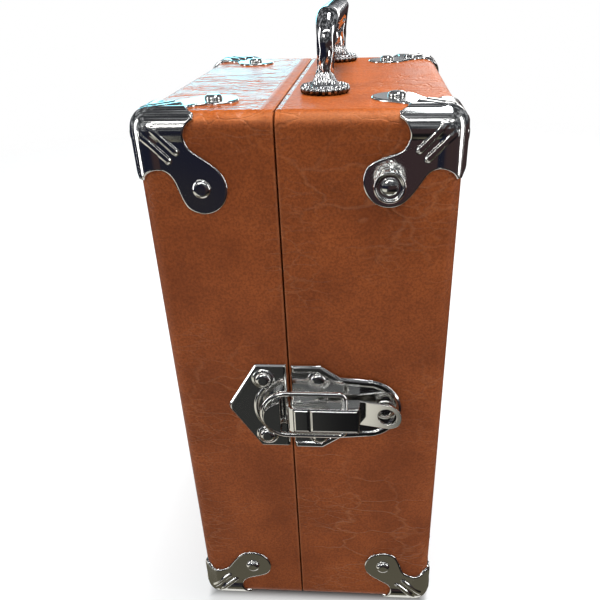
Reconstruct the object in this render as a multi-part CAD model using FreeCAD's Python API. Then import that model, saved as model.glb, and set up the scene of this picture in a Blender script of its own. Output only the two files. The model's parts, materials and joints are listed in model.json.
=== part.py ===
import FreeCAD, Part
import math
import os

V = FreeCAD.Vector
ORIGIN = V(0, 0, 0)
X_AXIS = V(1, 0, 0)
Y_AXIS = V(0, 1, 0)
Z_AXIS = V(0, 0, 1)

# Closed case over its covering: thickness (X), height (Z) and depth (Y).
CASE_T = 160.0
CASE_H = 337.0
CASE_L = 222.0
EDGE_R = 8.5
SEAM_X = -10.4
SEAM_GAP = 0.8
COVER_T = 1.0
PLY_T = 9.0
RIM_R = 0.9

# Pressed corner plates and their rivets.
CORNER_T = 1.2
BEAD_R = 10.5
EAR_LIP = 31.5
BITE_S = 34.4
BITE_T = 11.0
BITE_R = 8.0
BITE_END_DEG = 125.0
LOBE_IN = 33.6
LOBE_SKEW = 1.6
LOBE_R = 13.0
FLANK_DEG = -32.0
FLANK_PULL = 5.0
RIB_FROM = 11.0
RIB_TO = 27.0
RIB_OFFSET = 2.9
RIB_W = 3.6
RIB_TOP_W = 1.6
RIB_H = 1.1
RIVET_R = 4.6
RIVET_HEAD_H = 2.2
RIVET_SHANK_R = 1.9
RIVET_SHANK = 7.2
HOLE_SLACK = 0.05

# Strap button on the base's upper front corner.
BUTTON_R = 7.8
BUTTON_NECK_R = 6.2
BUTTON_NECK_V = 1.8
BUTTON_OUT = 10.6

# Cast handle along the top of the base.
HANDLE_X = 10.4
HANDLE_FRONT = 55.0
HANDLE_PITCH = 141.0
HANDLE_H = 38.8
HANDLE_GRIP_W = 13.0
HANDLE_GRIP_T = 10.5
HANDLE_NECK = 7.6
HANDLE_BEND_W = 10.6
HANDLE_BEND_R = 13.0
HANDLE_LEAN = 1.5
HANDLE_BELL_H = 8.0
HANDLE_FOOT_R = 13.6
HANDLE_BOLT_R = 2.45

# Drawbolt latch, across the seam from the seam line (s), out from the face (v).
LATCH_RISE = 2.5
LATCH_PLATE_T = 1.6
PLATE_BEVEL = 1.2
LATCH_HALF_H = 29.5
CATCH_EDGE = -1.4
CATCH_SHOULDER = -19.5
CATCH_TIP = -37.3
CATCH_TIP_HALF = 4.0
PLATE_EDGE = 1.6
PLATE_SHOULDER = 18.9
PLATE_WAIST = 30.0
PLATE_WAIST_HALF = 22.0
PLATE_END_R = 20.5
PLATE_END = 66.1
LATCH_RIVET_Z = 20.2
CATCH_RIVET = -15.0
PLATE_RIVET = 17.4
PLATE_END_RIVET = 56.7
DIMPLE_R = 6.6
DIMPLE_H = 0.8
LEVER_HALF = 8.35
LEVER_FROM = -0.5
LEVER_TO = 41.5
LEVER_SPLIT = 12.8
LEVER_OUT = 15.5
LEVER_WALL = 1.5
PANEL_RAISE = 0.7
PIVOT_S = 4.8
PIVOT_V = 8.2
PIVOT_R = 1.95
BARREL_R = 5.2
LUG_T = 1.5
LUG_GAP = 0.4
LUG_TO = 23.0
LUG_EYE = 18.8
LUG_EYE_R = 2.4
LUG_EDGE = 3.4
PLATE_RIM_W = 4.6
PLATE_RIM_H = 1.0
TAB_V = 5.6
TAB_T = 1.6
TAB_END = 66.0
TAB_LIFT = 12.5
TAB_EYE_R = 5.4
RIDGE_R = 19.2
RIDGE_H = 0.8
RIDGE_SPAN = 112.0
BAIL_WIRE_R = 1.6
BAIL_TIP = -15.8
BAIL_PIN_S = 33.0
BAIL_V = 8.5
BAIL_HALF = 14.7
BAIL_BEND_R = 4.0
HOOK_CLEAR = 0.4
HOOK_SIDE = -4.8
HOOK_LEAN = 15.0
HOOK_TOP = 13.0
HOOK_HALF = 10.5

# Two butt hinges on the back.
HINGE_OUT = 4.0
KNUCKLE_R = 3.2
HINGE_PIN_R = 1.5
HINGE_PIN_HEAD_R = 2.6
HINGE_PIN_HEAD_H = 1.2
HINGE_H = 50.0
HINGE_LEAF_W = 24.0
HINGE_LEAF_T = 1.2
HINGE_SPREAD = 180.0
KNUCKLE_GAP = 0.4
LID_KNUCKLE = 17.6
NOTCH = 0.6
HINGE_SCREW_X = 14.0
HINGE_SCREW_Z = 17.0

# Instrument panel and what it carries; p runs along Z and q along Y from the panel's middle.
PANEL_RECESS = 4.0
PANEL_T = 1.6
PANEL_PLAY = 0.5
CLEAT = 12.0
PANEL_SCREW_R = 1.7
METER_PQ = (-92.0, 42.0)
METER_W = 88.0
METER_H = 76.0
METER_OUT = 14.0
METER_WALL = 2.5
METER_CAN_R = 33.0
METER_CAN_DEPTH = 34.0
METER_PIVOT_Q = -24.0
METER_POINTER = 46.0
WINDOW_W = 74.0
WINDOW_H = 40.0
WINDOW_Q = 11.0
WINDOW_T = 1.5
WINDOW_LAP = 1.0
SWEEP_DEG = 90.0
OCTAL_PQ = ((-8.0, 62.0), (38.0, 62.0))
NOVAL_PQ = ((84.0, 66.0), (84.0, 20.0))
MINIATURE_PQ = ((128.0, 66.0), (128.0, 20.0))
SELECTOR_PQ = ((-110.0, -34.0), (-40.0, -34.0), (30.0, -34.0), (100.0, -34.0))
TOGGLE_PQ = (-120.0, -80.0)
BUTTON_PQ = (-20.0, -80.0)
LAMP_PQ = (-8.0, 16.0)
FUSE_PQ = (38.0, 16.0)
GLAND_PQ = (126.0, -80.0)
SHAFT_R = 3.15
KNOB_LIFT = 3.4
KNOB_H = 17.0
KNOB_NOSE = 24.0
KNOB_R = 12.0
TOGGLE_BUSH = 6.0
TOGGLE_SUNK = 1.6
TOGGLE_PIN_R = 0.8
TOGGLE_TILT = 12.0
TOGGLE_BAT = 19.0
TEST_R = 5.0
GLAND_BORE_R = 3.6
KEY_R = 4.1
KEY_DEPTH = 12.0

# Faces of the case in the part's own frame: the bounding box stands on Z = 0, centred in X and Y.
FOOT_H = CORNER_T + RIVET_HEAD_H
BOTTOM_Z = FOOT_H
TOP_Z = BOTTOM_Z + CASE_H
MID_Z = (BOTTOM_Z + TOP_Z) / 2
LID_X = -CASE_T / 2
BASE_X = CASE_T / 2
BACK_REACH = HINGE_OUT + KNUCKLE_R
FRONT_Y = (LEVER_OUT - CASE_L - BACK_REACH) / 2
BACK_Y = FRONT_Y + CASE_L
MID_Y = (FRONT_Y + BACK_Y) / 2
WALL = PLY_T + COVER_T
BASE_RIM_X = SEAM_X + SEAM_GAP / 2
LID_RIM_X = SEAM_X - SEAM_GAP / 2
LATCH_Z = MID_Z + LATCH_RISE
PANEL_X = BASE_RIM_X + PANEL_RECESS
PANEL_BACK_X = PANEL_X + PANEL_T
BASE_FLOOR_X = BASE_X - WALL
FAR = 500.0
COS_45 = math.sqrt(0.5)


# Small makers of solids.

def block(low, high):
    """A box between two corners."""
    size = V(*high) - V(*low)
    return Part.makeBox(size.x, size.y, size.z, V(*low))


def rounded_box(low, high, radius):
    """A box with all twelve edges rounded."""
    box = block(low, high)
    return box.makeFillet(radius, box.Edges)


def turned(profile, base, axis):
    """A solid of revolution from (radius, height) points, standing on base along axis."""
    points = [V(r, 0, h) for r, h in profile]
    face = Part.Face(Part.makePolygon(points + points[:1]))
    solid = face.revolve(ORIGIN, Z_AXIS, 360)
    solid.Placement = FreeCAD.Placement(base, FreeCAD.Rotation(Z_AXIS, axis))
    return solid


def rod(base, axis, radius, length):
    """A round bar from base along axis."""
    return Part.makeCylinder(radius, length, base, axis)


def arc(start, through, end):
    """An edge on the circle through three points."""
    return Part.Arc(start, through, end).toShape()


def line(start, end):
    """A straight edge."""
    return Part.LineSegment(start, end).toShape()


def chain(points):
    """Straight edges through points, not closed."""
    return [line(a, b) for a, b in zip(points, points[1:])]


def prism(edges, sweep):
    """A solid made by sweeping the closed outline of edges straight along sweep."""
    return Part.Face(Part.Wire(Part.__sortEdges__(edges))).extrude(sweep)


def skin(wires):
    """A solid with straight sides between closed outlines."""
    return Part.makeLoft(wires, True, True)


def fused(first, *others):
    """One solid from overlapping pieces, with its split faces joined."""
    return first.fuse(list(others)).removeSplitter()


def polygon(points):
    """A closed outline of straight sides."""
    return Part.makePolygon(points + points[:1])


def rectangle_at(x, centre_p, centre_q, width, height):
    """A closed rectangle in a plane of constant X; width runs along Z and height along Y."""
    corners = ((-1, -1), (1, -1), (1, 1), (-1, 1))
    return polygon([panel_point(x, centre_p + i * width / 2, centre_q + j * height / 2) for i, j in corners])


def save(name, shape):
    """Write one node."""
    shape.exportStep("parts/" + name + ".step")


# Case halves.

def case_side(low_x, high_x):
    """The slice of space between two X planes."""
    return block((low_x, -FAR, -FAR), (high_x, FAR, FAR))


def rounded_rim(half, rim_x):
    """Round the outer edge of a half's rim, where the covering is folded over the wood."""
    edges = []
    for edge in half.Edges:
        box = edge.BoundBox
        if abs(box.XMin - rim_x) < 1e-4 and abs(box.XMax - rim_x) < 1e-4:
            edges.append(edge)
    return half.makeFillet(RIM_R, edges)


def case_half(rim_x, wood_x, outer_x, floor_x):
    """Wooden tray and its covering for one half; the covering wraps the outside and the rim."""
    low = V(LID_X, FRONT_Y, BOTTOM_Z)
    high = V(BASE_X, BACK_Y, TOP_Z)
    inset = V(COVER_T, COVER_T, COVER_T)
    whole = rounded_box(low, high, EDGE_R)
    core = rounded_box(low + inset, high - inset, EDGE_R - COVER_T)
    spans = [sorted((rim_x, outer_x)), sorted((wood_x, outer_x)), sorted((SEAM_X, floor_x))]
    skin_half = rounded_rim(whole.common(case_side(*spans[0])), rim_x)
    wood_half = core.common(case_side(*spans[1]))
    cavity = block((spans[2][0], FRONT_Y + WALL, BOTTOM_Z + WALL), (spans[2][1], BACK_Y - WALL, TOP_Z - WALL))
    return wood_half.cut(cavity), skin_half.cut([wood_half, cavity])


# Corner plates and rivets.

def polar(centre, radius, degrees):
    """A point on a circle in the (s, t) plane of an ear."""
    angle = math.radians(degrees)
    return (centre[0] + radius * math.cos(angle), centre[1] + radius * math.sin(angle))


def ear_lobe(hand):
    """Centre of an ear's lobe: a little nearer to one edge, so a plate has a hand (+1 or -1)."""
    return (LOBE_IN - hand * LOBE_SKEW, LOBE_IN + hand * LOBE_SKEW)


def ear_side(lobe):
    """One side of an ear: lip end, bite, and a flank that leaves the bite and meets the lobe smoothly."""
    bite = (BITE_S, BITE_T)
    lip_t = BITE_T - math.sqrt(BITE_R ** 2 - (BITE_S - EAR_LIP) ** 2)
    bite_end = polar(bite, BITE_R, BITE_END_DEG)
    flank_end = polar(lobe, LOBE_R, FLANK_DEG)
    leaving = polar(bite_end, FLANK_PULL, BITE_END_DEG - 90)
    meeting = polar(flank_end, -FLANK_PULL, FLANK_DEG + 90)
    margin = -3 * CORNER_T
    return [(margin, margin), (EAR_LIP, margin), (EAR_LIP, lip_t), (BITE_S - BITE_R, BITE_T), bite_end,
            leaving, meeting, flank_end]


def ear_outline(to_point, hand):
    """Outline of one ear: a lip along each edge, a round bite beside it, and a round lobe."""
    lobe = ear_lobe(hand)
    other_side = [(t, s) for s, t in ear_side((lobe[1], lobe[0]))]
    edges = []
    ends = []
    for side in (ear_side(lobe), other_side):
        start, lip, tip, mid, end, leaving, meeting, flank = [to_point(s, t) for s, t in side]
        edges += chain([start, lip, tip])
        curve = Part.BezierCurve()
        curve.setPoles([end, leaving, meeting, flank])
        edges += [arc(tip, mid, end), curve.toShape()]
        ends.append(flank)
    edges.append(arc(ends[0], to_point(*polar(lobe, LOBE_R, 45)), ends[1]))
    return edges


def rib_outline(to_point, offset, width, depth):
    """A slot-shaped outline along the ear's diagonal, at one height of a pressed rib."""
    radius = width / 2

    def place(along, across):
        return to_point((along - across) * COS_45, (along + across) * COS_45, depth)

    low, high = offset - radius, offset + radius
    sides = [line(place(RIB_FROM, low), place(RIB_TO, low)), line(place(RIB_TO, high), place(RIB_FROM, high))]
    ends = [arc(place(RIB_TO, low), place(RIB_TO + radius, offset), place(RIB_TO, high)),
            arc(place(RIB_FROM, high), place(RIB_FROM - radius, offset), place(RIB_FROM, low))]
    return Part.Wire([sides[0], ends[0], sides[1], ends[1]])


def corner_plate(hand):
    """A pressed plate for the case corner at the origin, with the case in the positive octant.

    The plate is the gap between the case's rounded corner and the same corner grown by the
    plate's thickness, kept inside the ear outlines of its three faces.
    """
    size = EAR_LIP + 3 * LOBE_R
    inner = block((0, 0, 0), (size, size, size))
    outer = block((-CORNER_T, -CORNER_T, -CORNER_T), (size, size, size))
    inner = round_three(inner, EDGE_R, 0)
    outer = round_three(outer, EDGE_R + CORNER_T, -CORNER_T)
    depth = EDGE_R * (1 - COS_45)
    axes = (X_AXIS, Y_AXIS, Z_AXIS)
    keep = [block((-size, -size, -size), (EDGE_R, EDGE_R, EDGE_R))]
    ribs = []
    holes = []
    for k in range(3):
        normal, along, across = axes[k], axes[(k + 1) % 3], axes[(k + 2) % 3]

        def to_point(s, t, height=3 * CORNER_T):
            return along * s + across * t - normal * height

        keep.append(prism(ear_outline(to_point, hand), normal * (3 * CORNER_T + depth)))
        for offset in (-RIB_OFFSET, RIB_OFFSET):
            foot = rib_outline(to_point, offset, RIB_W, CORNER_T / 2)
            top = rib_outline(to_point, offset, RIB_TOP_W, CORNER_T + RIB_H)
            ribs.append(skin([foot, top]))
        holes.append(rod(to_point(*ear_lobe(hand)), normal, RIVET_SHANK_R + HOLE_SLACK, 4 * CORNER_T))
    middle = V(EDGE_R, EDGE_R, EDGE_R)
    beads = [rod(middle, axis, BEAD_R, size) for axis in axes]
    grown = outer.fuse(beads + [Part.makeSphere(BEAD_R, middle)])
    plate = grown.cut(inner).common(keep[0].fuse(keep[1:]))
    return plate.fuse(ribs).cut(holes).removeSplitter()


def round_three(box, radius, corner):
    """Round the three edges that meet at the (corner, corner, corner) vertex of a box."""
    edges = []
    for edge in box.Edges:
        bounds = edge.BoundBox
        lows = [abs(v - corner) < 1e-6 for v in (bounds.XMin, bounds.YMin, bounds.ZMin)]
        highs = [abs(v - corner) < 1e-6 for v in (bounds.XMax, bounds.YMax, bounds.ZMax)]
        if all(lows) and sum(highs) == 2:
            edges.append(edge)
    return box.makeFillet(radius, edges)


def at_corner(shape, point, inward):
    """Turn a piece made for the corner at the origin into another corner of the case."""
    placed = shape.copy()
    for axis, sign in zip((X_AXIS, Y_AXIS, Z_AXIS), inward):
        if sign < 0:
            placed = placed.mirror(ORIGIN, axis)
    placed.translate(point)
    return placed


def rivet(base, axis):
    """A low domed rivet with its shank; base lies under the head."""
    profile = [(0, -RIVET_SHANK), (RIVET_SHANK_R, -RIVET_SHANK), (RIVET_SHANK_R, 0), (RIVET_R, 0),
               (0.9 * RIVET_R, 0.55 * RIVET_HEAD_H), (0.5 * RIVET_R, RIVET_HEAD_H), (0, RIVET_HEAD_H)]
    return turned(profile, base, axis)


def shank_hole(base, axis):
    """The blind hole that a rivet's shank fills."""
    return rod(base, axis * -1, RIVET_SHANK_R + HOLE_SLACK, RIVET_SHANK + 0.5)


def strap_button(base, axis):
    """A turned button on a rivet's shank: a groove at the plate, a barrel and a rimmed face with a dome."""
    rim = BUTTON_OUT - 0.9
    shank = [(0, -RIVET_SHANK), (RIVET_SHANK_R, -RIVET_SHANK), (RIVET_SHANK_R, 0)]
    neck = [(BUTTON_NECK_R, 0), (BUTTON_NECK_R, BUTTON_NECK_V), (BUTTON_R - 0.4, BUTTON_NECK_V + 0.8)]
    barrel = [(BUTTON_R, BUTTON_NECK_V + 1.6), (BUTTON_R, rim - 1.6), (BUTTON_R - 0.5, rim - 0.4),
              (BUTTON_R - 1.4, rim)]
    dome = [(BUTTON_R - 2.0, rim - 0.7), (BUTTON_R - 2.4, rim - 1.0), (BUTTON_R - 2.8, rim - 0.7),
            (0.43 * BUTTON_R, rim + 0.3), (0, BUTTON_OUT)]
    return turned(shank + neck + barrel + dome, base, axis)


# Handle.

def ellipse_at(centre, along, width, thickness):
    """An ellipse across the handle's path: width in X, thickness in the plane of the arch."""
    ring = Part.Ellipse(ORIGIN, width / 2, thickness / 2).toShape()
    turn = FreeCAD.Rotation(X_AXIS, X_AXIS.cross(along) * -1, along, "ZXY")
    ring.Placement = FreeCAD.Placement(centre, turn)
    return Part.Wire(ring)


def handle_path():
    """Stations along the arch: point, direction, width and thickness."""
    mid_y = FRONT_Y + HANDLE_FRONT + HANDLE_PITCH / 2
    grip_z = HANDLE_H - HANDLE_GRIP_T / 2
    bend_z = grip_z - HANDLE_BEND_R
    half = HANDLE_PITCH / 2
    bend = [(0, HANDLE_NECK + 0.2, HANDLE_NECK), (45, HANDLE_BEND_W, HANDLE_NECK + 1.2),
            (90, HANDLE_GRIP_W - 0.5, HANDLE_GRIP_T)]
    foot_w = HANDLE_NECK + 0.7
    rising = [(-half, height, 0, foot_w, foot_w) for height in (2.0, HANDLE_BELL_H)]
    for degrees, width, thickness in bend:
        angle = math.radians(degrees)
        y = -half + HANDLE_BEND_R * (1 - math.cos(angle))
        z = bend_z + HANDLE_BEND_R * math.sin(angle)
        rising.append((y, z, degrees, width, thickness))
    falling = [(-y, z, 180 - degrees, w, t) for y, z, degrees, w, t in reversed(rising)]
    grip = [(y, grip_z, 90, HANDLE_GRIP_W, HANDLE_GRIP_T) for y in (-half / 2, -half / 6, half / 6, half / 2)]
    stations = []
    for y, z, degrees, w, t in rising + grip + falling:
        angle = math.radians(degrees)
        point = V(HANDLE_X + HANDLE_LEAN * z / grip_z, mid_y + y, TOP_Z + z)
        stations.append((point, V(0, math.sin(angle), math.cos(angle)), w, t))
    return stations


def handle_feet():
    """Centres of the two feet on the case's top."""
    return [V(HANDLE_X, FRONT_Y + HANDLE_FRONT + d, TOP_Z) for d in (0, HANDLE_PITCH)]


def handle():
    """Arched grip lofted through ellipses, leaning a little, on two turned bell feet with bolt holes."""
    arch = Part.makeLoft([ellipse_at(*station) for station in handle_path()], True, False)
    neck = HANDLE_NECK / 2
    profile = [(0, 0), (HANDLE_FOOT_R, 0), (HANDLE_FOOT_R, 1.7), (HANDLE_FOOT_R - 1.2, 2.5), (10.6, 2.6),
               (8.4, 3.2), (6.6, 4.6), (5.4, 6.2), (neck + 0.5, HANDLE_BELL_H), (0, HANDLE_BELL_H)]
    feet = [turned(profile, foot, Z_AXIS) for foot in handle_feet()]
    bores = [rod(foot, Z_AXIS, HANDLE_BOLT_R + HOLE_SLACK, 9.0) for foot in handle_feet()]
    return arch.fuse(feet).cut(bores)


def handle_bolts():
    """Bolts from inside the case up into the feet, with a washer each."""
    head = [(0, -WALL - 4.6), (4.4, -WALL - 4.6), (4.4, -WALL - 1.2), (7.0, -WALL - 1.2), (7.0, -WALL),
            (HANDLE_BOLT_R, -WALL), (HANDLE_BOLT_R, 8.5), (0, 8.5)]
    return Part.makeCompound([turned(head, foot, Z_AXIS) for foot in handle_feet()])


# Drawbolt latch.

def front(s, v, z):
    """A point on the front: s across from the seam, v out of the face, z above the latch's middle."""
    return V(SEAM_X + s, FRONT_Y - v, LATCH_Z + z)


def pressed_plate(edges, thickness):
    """A plate on the front face with its upper edges bevelled."""
    plate = prism(edges, Y_AXIS * -thickness)
    top = FRONT_Y - thickness
    rim = [e for e in plate.Edges if abs(e.BoundBox.YMin - top) < 1e-4 and abs(e.BoundBox.YMax - top) < 1e-4]
    return plate.makeChamfer(PLATE_BEVEL, rim)


def dimple(s, z):
    """The raised seat of a latch rivet."""
    profile = [(0, -0.3), (DIMPLE_R, -0.3), (DIMPLE_R, 0), (DIMPLE_R - 0.8, DIMPLE_H), (0, DIMPLE_H)]
    return turned(profile, front(s, LATCH_PLATE_T, z), Y_AXIS * -1)


def latch_rivet_seat(s, z):
    """Where a latch rivet's head sits."""
    return front(s, LATCH_PLATE_T + DIMPLE_H, z)


CATCH_RIVETS = [(CATCH_RIVET, LATCH_RIVET_Z), (CATCH_RIVET, -LATCH_RIVET_Z)]
PLATE_RIVETS = [(PLATE_RIVET, LATCH_RIVET_Z), (PLATE_RIVET, -LATCH_RIVET_Z), (PLATE_END_RIVET, 0)]


def riveted(plate, seats):
    """Add rivet dimples to a plate and drill them."""
    plate = fused(plate, *[dimple(s, z) for s, z in seats])
    return plate.cut([shank_hole(latch_rivet_seat(s, z), Y_AXIS * -1) for s, z in seats])


def hook_outline(v):
    """The hook's D-shaped outline at one height; it leans over the bail's wire as it rises."""
    centre_s = BAIL_TIP + BAIL_HALF
    reach = BAIL_HALF - BAIL_WIRE_R - HOOK_CLEAR + (v - BAIL_V) * math.tan(math.radians(HOOK_LEAN))
    half = HOOK_HALF + (v - BAIL_V) * math.tan(math.radians(HOOK_LEAN)) / 2
    curve = Part.BSplineCurve()
    angles = [90 + 22.5 * i for i in range(9)]
    points = []
    for degrees in angles:
        angle = math.radians(degrees)
        points.append(front(centre_s + reach * math.cos(angle), v, half * math.sin(angle)))
    points[0].x = SEAM_X + HOOK_SIDE
    points[-1].x = SEAM_X + HOOK_SIDE
    curve.interpolate(points)
    return Part.Wire([curve.toShape(), line(points[-1], points[0])])


def latch_catch():
    """Five-sided catch plate on the lid with the hook that the bail closes over."""
    outline = [(CATCH_EDGE, -LATCH_HALF_H), (CATCH_EDGE, LATCH_HALF_H), (CATCH_SHOULDER, LATCH_HALF_H),
               (CATCH_TIP + 1.5, CATCH_TIP_HALF), (CATCH_TIP + 1.5, -CATCH_TIP_HALF),
               (CATCH_SHOULDER, -LATCH_HALF_H)]
    points = [front(s, 0, z) for s, z in outline]
    tip = arc(points[3], front(CATCH_TIP, 0, 0), points[4])
    plate = pressed_plate(chain(points[:4]) + [tip] + chain(points[4:] + points[:1]), LATCH_PLATE_T)
    hook = skin([hook_outline(LATCH_PLATE_T / 2), hook_outline(HOOK_TOP)])
    return riveted(plate.fuse([hook, catch_ridge()]), CATCH_RIVETS)


def catch_ridge():
    """A ridge pressed in the catch plate: a low trapezium turned about the bail's round end."""
    middle = front(BAIL_TIP + BAIL_HALF, LATCH_PLATE_T, 0)
    start = math.radians(180 - RIDGE_SPAN / 2)
    profile = []
    for radius, height in ((RIDGE_R - 1.7, -0.4), (RIDGE_R - 0.6, RIDGE_H), (RIDGE_R + 0.6, RIDGE_H),
                           (RIDGE_R + 1.7, -0.4)):
        profile.append(middle + V(radius * math.cos(start), -height, radius * math.sin(start)))
    return Part.Face(polygon(profile)).revolve(middle, Y_AXIS * -1, RIDGE_SPAN)


def lever_lug(z):
    """One long upright lug of the base plate beside the lever, round about the pivot, with an eye."""
    foot = LATCH_PLATE_T / 2
    low = PIVOT_S - LUG_EDGE
    top = PIVOT_V + LUG_EDGE
    end = PIVOT_V - 1.0
    edges = [arc(front(low, PIVOT_V, z), front(PIVOT_S - LUG_EDGE * COS_45, PIVOT_V + LUG_EDGE * COS_45, z),
                 front(PIVOT_S, top, z))]
    outline = [(PIVOT_S, top), (LUG_TO - LUG_EDGE, end + 1.0), (LUG_TO, end - 2.0), (LUG_TO, foot),
               (low, foot), (low, PIVOT_V)]
    edges += chain([front(s, v, z) for s, v in outline])
    lug = prism(edges, Z_AXIS * LUG_T)
    holes = []
    for s, v, radius in ((PIVOT_S, PIVOT_V, PIVOT_R + HOLE_SLACK), (LUG_EYE, end / 2 + foot, LUG_EYE_R)):
        holes.append(rod(front(s, v, z) - Z_AXIS, Z_AXIS, radius, LUG_T + 2))
    return lug.cut(holes)


def lug_faces():
    """The inner Z of the lugs, above and below the lever."""
    inner = LEVER_HALF + LUG_GAP
    return (inner, -inner - LUG_T)


def plate_outline(inset, edge_s, v):
    """Outline of the base plate at one height, drawn in by an inset."""
    end_s = PLATE_END - PLATE_END_R
    points = [(edge_s, LATCH_HALF_H - inset), (PLATE_SHOULDER - inset / 3, LATCH_HALF_H - inset),
              (PLATE_WAIST - inset / 3, PLATE_WAIST_HALF - inset), (end_s, PLATE_END_R - inset)]
    upper = [front(s, v, z) for s, z in points]
    lower = [front(s, v, -z) for s, z in reversed(points)]
    end = arc(upper[-1], front(PLATE_END - inset, v, 0), lower[0])
    return chain(upper) + [end] + chain(lower + upper[:1])


def latch_plate():
    """Waisted base plate with a raised rim and a round end, two lugs for the lever's pin and rivet seats."""
    plate = pressed_plate(plate_outline(0, PLATE_EDGE, 0), LATCH_PLATE_T + PLATE_RIM_H)
    wires = []
    for lift in (0, 2 * PLATE_RIM_H):
        wires.append(Part.Wire(plate_outline(PLATE_RIM_W - lift, PLATE_EDGE - 2.0, LATCH_PLATE_T + lift)))
    lugs = [lever_lug(z) for z in lug_faces()]
    return riveted(plate.cut(skin(wires)).fuse(lugs), PLATE_RIVETS)


def latch_pin():
    """The lever's pin through both lugs, with a head at each end."""
    half = LEVER_HALF + LUG_GAP + LUG_T
    profile = [(0, -half - 0.9), (3.0, -half - 0.9), (3.0, -half), (PIVOT_R, -half), (PIVOT_R, half),
               (3.0, half), (3.0, half + 0.9), (0, half + 0.9)]
    return turned(profile, front(PIVOT_S, PIVOT_V, 0), Z_AXIS)


def lever_profile(z):
    """Side outline of the lever: a barrel about its pivot, a flat back and an upright end."""
    face = LEVER_OUT - PANEL_RAISE
    crown = 4.0
    start = front(PIVOT_S, PIVOT_V - BARREL_R, z)
    barrel = front(PIVOT_S - BARREL_R, PIVOT_V, z)
    mid = BARREL_R * COS_45
    turn = front(LEVER_FROM, face - crown, z)
    crest = front(LEVER_FROM + crown, face, z)
    bulge = crown * (1 - COS_45)
    edges = [arc(start, front(PIVOT_S - mid, PIVOT_V - mid, z), barrel), line(barrel, turn),
             arc(turn, front(LEVER_FROM + bulge, face - bulge, z), crest)]
    edges += chain([crest, front(LEVER_TO, face, z), front(LEVER_TO, TAB_V - TAB_T, z),
                    front(BAIL_PIN_S, PIVOT_V - 3.4, z), start])
    return edges


def raised_panel(low, high, half):
    """A shallow panel pressed out of the lever's face, with sloped sides."""
    face = LEVER_OUT - PANEL_RAISE
    wires = []
    for inset, v in ((0, face - 0.2), (PANEL_RAISE, LEVER_OUT)):
        a, b, h = low + inset, high - inset, half - inset
        wires.append(polygon([front(a, v, -h), front(b, v, -h), front(b, v, h), front(a, v, h)]))
    return skin(wires)


def lever_tab():
    """The lever's finger tab: a strip that lifts away from the plate, with a round end and an eye."""
    low = LEVER_TO - LEVER_WALL
    rise = (TAB_END - low) * math.tan(math.radians(TAB_LIFT))
    side = [(low, TAB_V - TAB_T), (TAB_END, TAB_V - TAB_T + rise), (TAB_END, TAB_V + rise), (low, TAB_V)]
    strip = Part.Face(polygon([front(s, v, -LEVER_HALF) for s, v in side])).extrude(Z_AXIS * (2 * LEVER_HALF))
    end_s = TAB_END - LEVER_HALF
    corners = [front(s, 0, z) for s, z in ((end_s, LEVER_HALF), (low, LEVER_HALF), (low, -LEVER_HALF),
                                           (end_s, -LEVER_HALF))]
    round_end = arc(corners[-1], front(TAB_END, 0, 0), corners[0])
    keep = prism(chain(corners) + [round_end], Y_AXIS * -LEVER_OUT)
    eye = rod(front(end_s, 0, 0), Y_AXIS * -1, TAB_EYE_R, LEVER_OUT)
    return strip.common(keep).cut(eye)


def latch_lever():
    """Folded channel lever with two raised panels and a finger tab, bored for its pin and for the bail."""
    solid = prism(lever_profile(-LEVER_HALF), Z_AXIS * (2 * LEVER_HALF))
    inner = LEVER_HALF - LEVER_WALL
    hollow_top = LEVER_OUT - PANEL_RAISE - LEVER_WALL
    near, far = PIVOT_S + BARREL_R + 1.2, LEVER_TO - LEVER_WALL
    corners = [(near, -1), (near, hollow_top), (far, hollow_top), (far, -1)]
    hollow = Part.Face(polygon([front(s, v, -inner) for s, v in corners])).extrude(Z_AXIS * (2 * inner))
    bores = []
    for s, v, radius in ((PIVOT_S, PIVOT_V, PIVOT_R), (BAIL_PIN_S, BAIL_V, BAIL_WIRE_R)):
        bores.append(rod(front(s, v, -2 * LEVER_HALF), Z_AXIS, radius + HOLE_SLACK, 4 * LEVER_HALF))
    half = LEVER_HALF - 0.9
    panels = [raised_panel(LEVER_FROM + 4.0, LEVER_SPLIT - 0.6, half),
              raised_panel(LEVER_SPLIT + 0.6, LEVER_TO - 0.9, half)]
    return solid.cut([hollow] + bores).fuse(panels + [lever_tab()])


def latch_bail():
    """Wire loop: two pins in the lever, straight sides and a round end over the hook."""
    r = BAIL_BEND_R
    mid = r * (1 - COS_45)
    centre_s = BAIL_TIP + BAIL_HALF
    pin = LEVER_HALF - LEVER_WALL - 0.6
    upper = [(BAIL_PIN_S, pin), (BAIL_PIN_S, BAIL_HALF - r), (BAIL_PIN_S - mid, BAIL_HALF - mid),
             (BAIL_PIN_S - r, BAIL_HALF), (centre_s, BAIL_HALF)]
    a = [front(s, BAIL_V, z) for s, z in upper]
    b = [front(s, BAIL_V, -z) for s, z in upper]
    edges = [line(a[0], a[1]), arc(a[1], a[2], a[3]), line(a[3], a[4])]
    edges.append(arc(a[4], front(BAIL_TIP, BAIL_V, 0), b[4]))
    edges += [line(b[4], b[3]), arc(b[3], b[2], b[1]), line(b[1], b[0])]
    section = Part.Wire(Part.makeCircle(BAIL_WIRE_R, a[0], Z_AXIS))
    return Part.Wire(edges).makePipeShell([section], True, False)


# Hinges.

def hinge_centres():
    """Middle heights of the two hinges."""
    return (MID_Z - HINGE_SPREAD / 2, MID_Z + HINGE_SPREAD / 2)


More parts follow.
